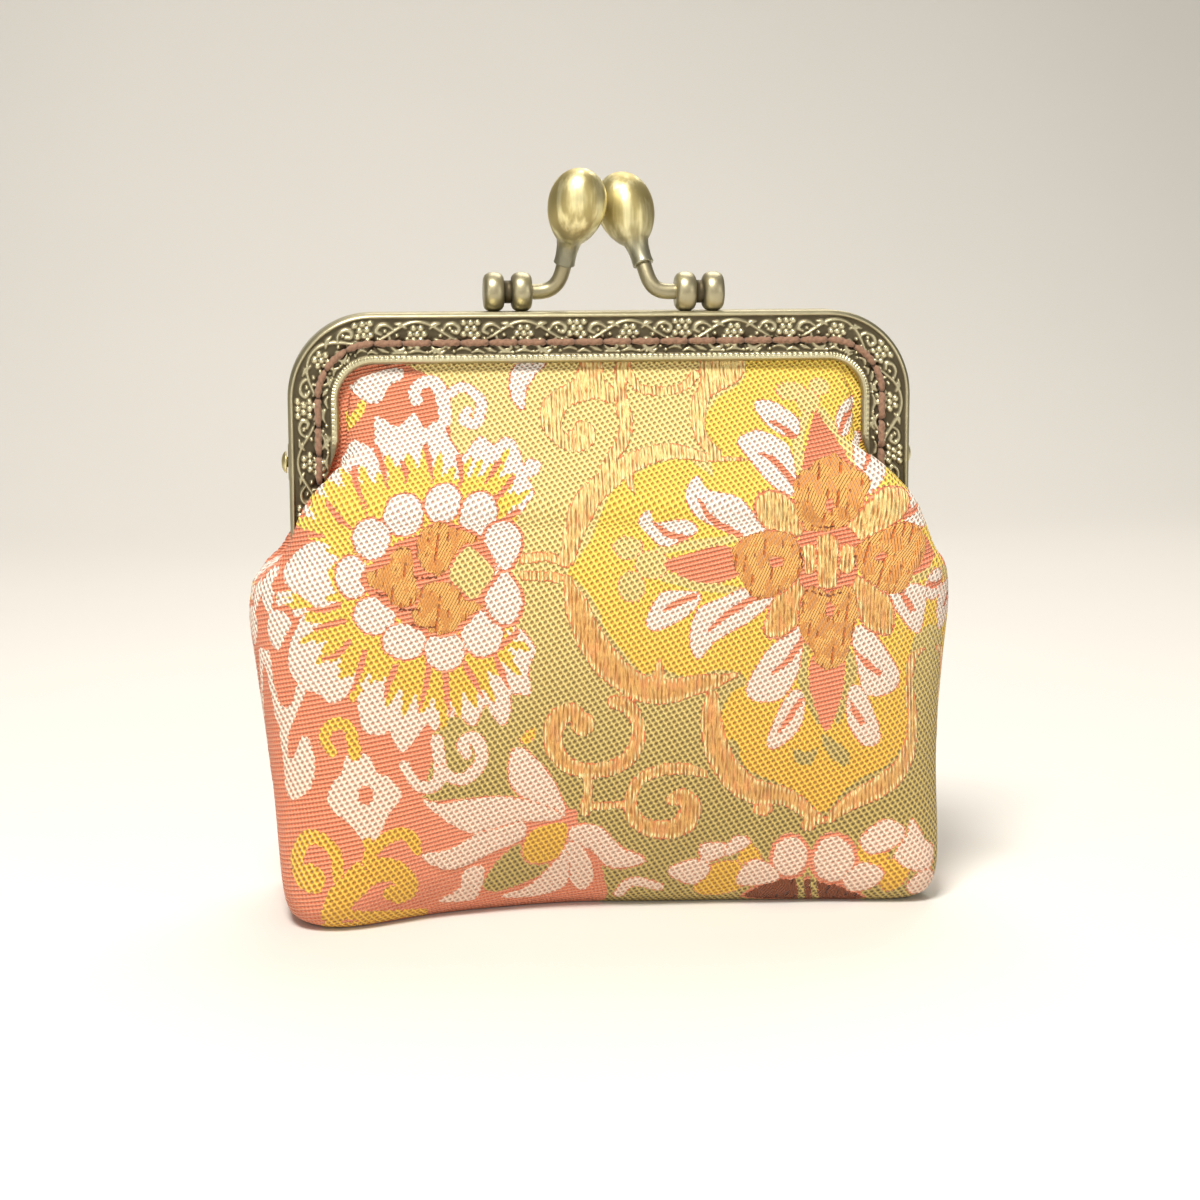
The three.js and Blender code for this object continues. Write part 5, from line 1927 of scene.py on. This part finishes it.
@dataclass
class ClothPanel:
    """One panel of the pouch: tucked into the frame, swelling over the body and turned under the base."""

    half: Half
    folds: tuple[Fold, ...]
    chart: BrocadeChart
    arch: Arch = field(default_factory=Arch)
    rows: int = 276
    columns: int = 343
    # Thickness, groove at the seams and hold of the frame, in millimetres
    cloth: float = 1.2
    seam_dip: float = 0.7
    seam_width: float = 0.6
    seam_top: float = 54.0
    tuck_depth: float = 1.85
    tuck_inset: float = 3.0
    tuck_blend: Point = (52.5, 56.5)
    leg_front: float = 4.8
    overhang: float = 1.8
    lip_z: float = 74.2
    loosening: Point = (0.5, 7.0)
    ripple: float = 0.16
    # Flat piece of cloth, in metres and square metres
    cut: tuple[float, float] = (0.126, 0.104)
    cut_area: float = 0.0112
    # Height, half-width in front, half-width beside the legs, depth and squareness of each level section
    sections: tuple[tuple[float, ...], ...] = (
        (78.0, 30.5, 30.5, 0.0, 2.6), (76.4, 33.0, 33.0, 0.0, 2.6), (73.7, 33.0, 33.0, 0.0, 2.6),
        (71.9, 33.0, 33.0, 1.0, 2.6), (69.3, 33.9, 33.9, 2.6, 2.6), (65.0, 34.8, 34.1, 5.0, 2.7),
        (60.5, 37.4, 35.2, 7.6, 3.2), (56.5, 40.0, 36.6, 10.0, 3.6), (53.5, 42.2, 37.7, 12.0, 3.7),
        (49.9, 43.5, 39.1, 13.4, 3.6), (48.3, 44.6, 41.6, 14.0, 3.4), (46.3, 46.6, 45.4, 14.5, 3.3),
        (44.2, 47.4, 47.2, 14.9, 3.2), (41.0, 47.6, 47.6, 15.3, 3.2), (34.0, 46.9, 46.9, 15.7, 3.4),
        (25.0, 45.8, 45.8, 15.6, 3.7), (16.0, 44.9, 44.9, 14.8, 4.0), (9.0, 44.3, 44.3, 13.5, 4.4),
        (4.2, 43.8, 43.8, 12.0, 4.8), (1.6, 43.2, 43.2, 10.2, 5.0), (0.6, 42.0, 42.0, 8.4, 5.0),
        (0.6, 40.6, 40.6, 4.2, 5.0), (0.6, 39.2, 39.2, 0.0, 5.0),
    )

    def build(self, brocade: bpy.types.Material) -> None:
        """Builds and dresses the panel.

        Args:
            brocade: The cloth's finish.
        """
        name = self.half.label
        places, across, down = self.middle_surface()
        normals = self.normals(places)
        spots = self.chart.spots(across, down, self.half)
        fields = self.chart.fields(spots)
        proud = np.zeros(len(spots))
        for yarn, gap in fields.items():
            proud += (YARN_LOOKS[yarn].height - proud) * ease(-gap, -0.15, 0.15)
        places = places + normals * (self.cloth / 2 + proud.reshape(across.shape))[..., None]
        places[..., 2] = np.maximum(places[..., 2], 0.0)
        mesh = laid_mesh(f"{name}_cloth", self.half.turned(places)[::-1])
        for yarn, gap in fields.items():
            add_attribute(mesh, yarn.value, gap.reshape(across.shape)[::-1])
        slope = np.gradient(fields[Yarn.GOLD].reshape(across.shape), axis=0) / np.gradient(down, axis=0)
        add_attribute(mesh, "gold_slope", slope[::-1])
        self._map(mesh, np.stack([across, down], axis=2)[::-1])
        piece = add_piece(mesh, brocade, "brocade", f"{name}_panel")

    @staticmethod
    def _map(mesh: bpy.types.Mesh, cloth: np.ndarray) -> None:
        """Stores millimetres across and down the cloth as a map on the mesh."""
        corners = np.empty(len(mesh.loops), dtype=np.int32)
        mesh.loops.foreach_get("vertex_index", corners)
        layer = mesh.uv_layers.new(name="Cloth")
        layer.data.foreach_set("uv", cloth.reshape(-1, 2)[corners].astype(np.float32).reshape(-1))

    def _tucked_half_width(self, z: np.ndarray) -> np.ndarray:
        """Half-width of the edge inside the channel: it follows the arch, then the narrowing leg."""
        arch = self.arch
        radius = arch.corner - self.tuck_inset
        rise = np.maximum(z - arch.corner_z, 0.0)
        along = arch.corner_x + np.sqrt(np.maximum(radius**2 - rise**2, 0.0))
        share = np.clip((z - arch.leg_bottom) / (arch.taper_top - arch.leg_bottom), 0.0, 1.0)
        lip = arch.half_width - (arch.tip + (arch.bar - arch.tip) * share)
        return np.minimum(along, np.maximum(lip + 0.5, arch.corner_x))

    def middle_surface(self) -> tuple[np.ndarray, np.ndarray, np.ndarray]:
        """Lays out the middle of the cloth.

        Returns:
            Places in millimetres as rows by columns by three, and millimetres across and down the cloth.
        """
        table = np.array(self.sections)
        base = np.where(table[:, 0] > self.seam_top, self.tuck_depth, 0.0)
        knots = path_lengths(table[:, 0], base + table[:, 3])
        fine = int(self.rows * 0.95)
        turn = knots[-3] + 1.0
        upper = np.linspace(0.0, turn, fine, endpoint=False)
        reads = np.concatenate([upper, np.linspace(turn, knots[-1], self.rows - fine)])
        curves = (even_curve(knots, column, reads)[:, None] for column in table.T)
        z, front, beside, depth, square = curves
        tucked = ease(z, *self.tuck_blend)
        floor = self.tuck_depth * tucked
        angle = np.linspace(math.pi, 0.0, 481)[None]
        cos, sin = np.cos(angle), np.maximum(np.sin(angle), 0.0)
        y = -(floor + depth * sin ** (2 / square))
        free = ease(-y, self.leg_front, self.leg_front + self.overhang)
        x = np.sign(cos) * (beside + (front - beside) * free) * np.abs(cos) ** (2 / square)
        edge = x[:, -1:] + (self._tucked_half_width(z) - x[:, -1:]) * tucked
        edge = np.maximum(edge, x[:, -1:])
        x = np.hstack([-edge, x, edge])
        y = np.hstack([-floor, y, -floor])
        groove = self.seam_dip * (1.0 - tucked) * np.exp(-((y / self.seam_width) ** 2))
        x -= np.sign(x) * groove * (depth > 1.0)
        spread = self._spread()
        places = np.empty((self.rows, self.columns, 3))
        across = np.empty((self.rows, self.columns))
        for row in range(self.rows):
            run = path_lengths(x[row], y[row])
            at = spread * run[-1]
            places[row, :, 0] = np.interp(at, run, x[row])
            places[row, :, 1] = np.interp(at, run, y[row])
            across[row] = at - run[-1] / 2
        places[..., 2] = z
        lip = np.interp(-self.lip_z, -table[:3, 0], knots[:3])
        down = np.broadcast_to((reads - lip)[:, None], across.shape)
        return self._folded(places), across, down

    def _spread(self) -> np.ndarray:
        """Shares of a section's length where its columns lie, closer together in front."""
        share = np.linspace(0.0, 1.0, 2001)
        density = 1.0 - 0.55 * ease(np.abs(share - 0.5), 0.37, 0.41)
        total = np.concatenate([[0.0], np.cumsum((density[1:] + density[:-1]) / 2)])
        return np.interp(np.linspace(0.0, total[-1], self.columns), total, share)

    def _folded(self, places: np.ndarray) -> np.ndarray:
        """Pushes the cloth out or in by the folds and a slight ripple, less near its edges."""
        x, y, z = places[..., 0].copy(), places[..., 1].copy(), places[..., 2]
        loose = ease(-y - self.tuck_depth, *self.loosening)
        for fold in self.folds:
            away = ((x - fold.x) / fold.reach_x) ** 2 + ((z - fold.z) / fold.reach_z) ** 2
            share = loose * np.exp(-away)
            y = y - share * fold.forward
            x = x + share * fold.sideways
        wave = np.sin(x * 0.31 + 0.12 * z) * np.sin(z * 0.22 + 0.9)
        wave += 0.6 * np.sin(x * 0.13 - z * 0.17 + 2.0)
        y = y - self.ripple * loose * wave
        return np.stack([x, y, z], axis=2)

    def normals(self, places: np.ndarray) -> np.ndarray:
        """Outward directions; along the seams they stay level with the seam's plane.

        Args:
            places: Middle surface.

        Returns:
            Unit directions.
        """
        normal = np.cross(np.gradient(places, axis=0), np.gradient(places, axis=1))
        on_seam = places[..., 1] > -self.tuck_depth / 2
        normal[..., 1] = np.where(on_seam, 0.0, normal[..., 1])
        return normal / np.maximum(np.linalg.norm(normal, axis=2, keepdims=True), 1e-9)


# Studio


@dataclass(frozen=True)
class Studio:
    """Pale floor, soft lamps and the camera at the photograph's viewing angle."""

    target: Triple = (-0.174, 0.0, 41.184)
    yaw: float = -7.0
    height: float = 8.5
    roll: float = -0.215
    distance: float = 340.0
    focal: float = 2453.5
    picture: float = 1200.0
    sensor: float = 36.0
    warm: Triple = (1.0, 0.96, 0.89)
    lamp_aim: Triple = (0.0, 0.0, 0.045)
    sweep_start: float = 0.42
    sweep_radius: float = 0.32

    def build(self) -> None:
        """Sets up the floor, the lamps and the camera."""
        self.floor()
        self.lamps()
        self.camera()

    def camera(self) -> None:
        """Puts up the camera."""
        yaw, rise, roll = (math.radians(value) for value in (self.yaw, self.height, self.roll))
        back = Vector((math.sin(yaw) * math.cos(rise), -math.cos(yaw) * math.cos(rise), math.sin(rise)))
        right = Vector((math.cos(yaw), math.sin(yaw), 0.0))
        up = back.cross(right)
        turned_right = right * math.cos(roll) + up * math.sin(roll)
        turned_up = up * math.cos(roll) - right * math.sin(roll)
        place = (Vector(self.target) + back * self.distance) * MM
        view = Matrix((turned_right, turned_up, back)).transposed().to_4x4()
        lens = bpy.data.cameras.new("camera")
        lens.sensor_width = self.sensor
        lens.lens = self.focal / self.picture * self.sensor
        lens.clip_start = 0.01
        camera = bpy.data.objects.new("camera", lens)
        camera.matrix_world = Matrix.Translation(place) @ view
        bpy.context.scene.collection.objects.link(camera)
        bpy.context.scene.camera = camera

    def floor(self) -> None:
        """Lays the pale floor, which sweeps up behind the pouch, and lights the room evenly."""
        ground = bmesh.new()
        bmesh.ops.create_grid(ground, x_segments=2, y_segments=120, size=1.6)
        for vert in ground.verts:
            past = max(vert.co.y - self.sweep_start, 0.0)
            angle = min(past / self.sweep_radius, math.pi / 2)
            straight = max(past - self.sweep_radius * math.pi / 2, 0.0)
            vert.co.z = self.sweep_radius * (1.0 - math.cos(angle)) + straight
            vert.co.y = min(vert.co.y, self.sweep_start) + self.sweep_radius * math.sin(angle)
        mesh = bpy.data.meshes.new("floor")
        ground.to_mesh(mesh)
        ground.free()
        mesh.shade_smooth()
        w = Wiring("floor")
        tone = w.noise(w.place(), 6.0, 2.0)
        w.set(Base_Color=w.blend(tone, paint(222, 220, 216), paint(228, 226, 222)), Roughness=0.8)
        mesh.materials.append(w.material)
        floor = bpy.data.objects.new("floor", mesh)
        bpy.context.scene.collection.objects.link(floor)
        world = bpy.data.worlds.new("room")
        world.use_nodes = True
        world.node_tree.nodes["Background"].inputs["Color"].default_value = paint(236, 228, 216)
        world.node_tree.nodes["Background"].inputs["Strength"].default_value = 0.24
        bpy.context.scene.world = world

    def lamps(self) -> None:
        """Hangs soft square lamps round the pouch."""
        spots = (
            ("key", (-0.14, -0.33, 0.60), (0.18, 0.18), 5.2),
            ("fill", (0.50, -0.55, 0.30), (0.40, 0.40), 0.5),
            ("front", (-0.12, -0.80, 0.34), (0.70, 0.50), 0.8),
            ("back", (0.10, 0.36, 0.56), (0.40, 0.40), 2.2),
            ("left_strip", (-0.42, -0.42, 0.14), (0.06, 0.40), 0.5),
            ("right_strip", (0.40, -0.46, 0.14), (0.05, 0.40), 0.4),
        )
        for name, place, size, power in spots:
            lamp = bpy.data.lights.new(name, "AREA")
            lamp.shape = "RECTANGLE"
            lamp.size, lamp.size_y = size
            lamp.energy = power
            lamp.color = self.warm
            hung = bpy.data.objects.new(name, lamp)
            aim = Vector(self.lamp_aim) - Vector(place)
            turn = aim.to_track_quat("-Z", "Y").to_matrix().to_4x4()
            hung.matrix_world = Matrix.Translation(place) @ turn
            bpy.context.scene.collection.objects.link(hung)


def main() -> None:
    """Builds the pouch over its frame."""
    logging.basicConfig(level=logging.INFO, format="%(name)s %(message)s")
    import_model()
    bpy.context.scene.view_settings.view_transform = "Standard"
    Studio().build()
    brass = AgedBrass().material()
    bright = RubbedBrass().material()
    thread = SewingThread().material()
    brocade = Brocade().material()
    front = FrameHalf(Half.FRONT, spool_x=13.3, foot=(5.95, -0.6, 87.0), bead=(3.9, 2.3, 94.4))
    back = FrameHalf(Half.BACK, spool_x=12.5, foot=(4.9, -0.6, 87.1), bead=(3.4, 2.3, 95.1))
    for frame in (front, back):
        frame.build(brass, bright, thread)
    for rivet in (Rivet("right_rivet", 1), Rivet("left_rivet", -1)):
        rivet.build(bright)
    chart = BrocadeChart().draw()
    ClothPanel(Half.FRONT, FRONT_FOLDS, chart).build(brocade)
    ClothPanel(Half.BACK, BACK_FOLDS, chart).build(brocade)
    bpy.context.view_layer.update()


if __name__ == "__main__":
    main()
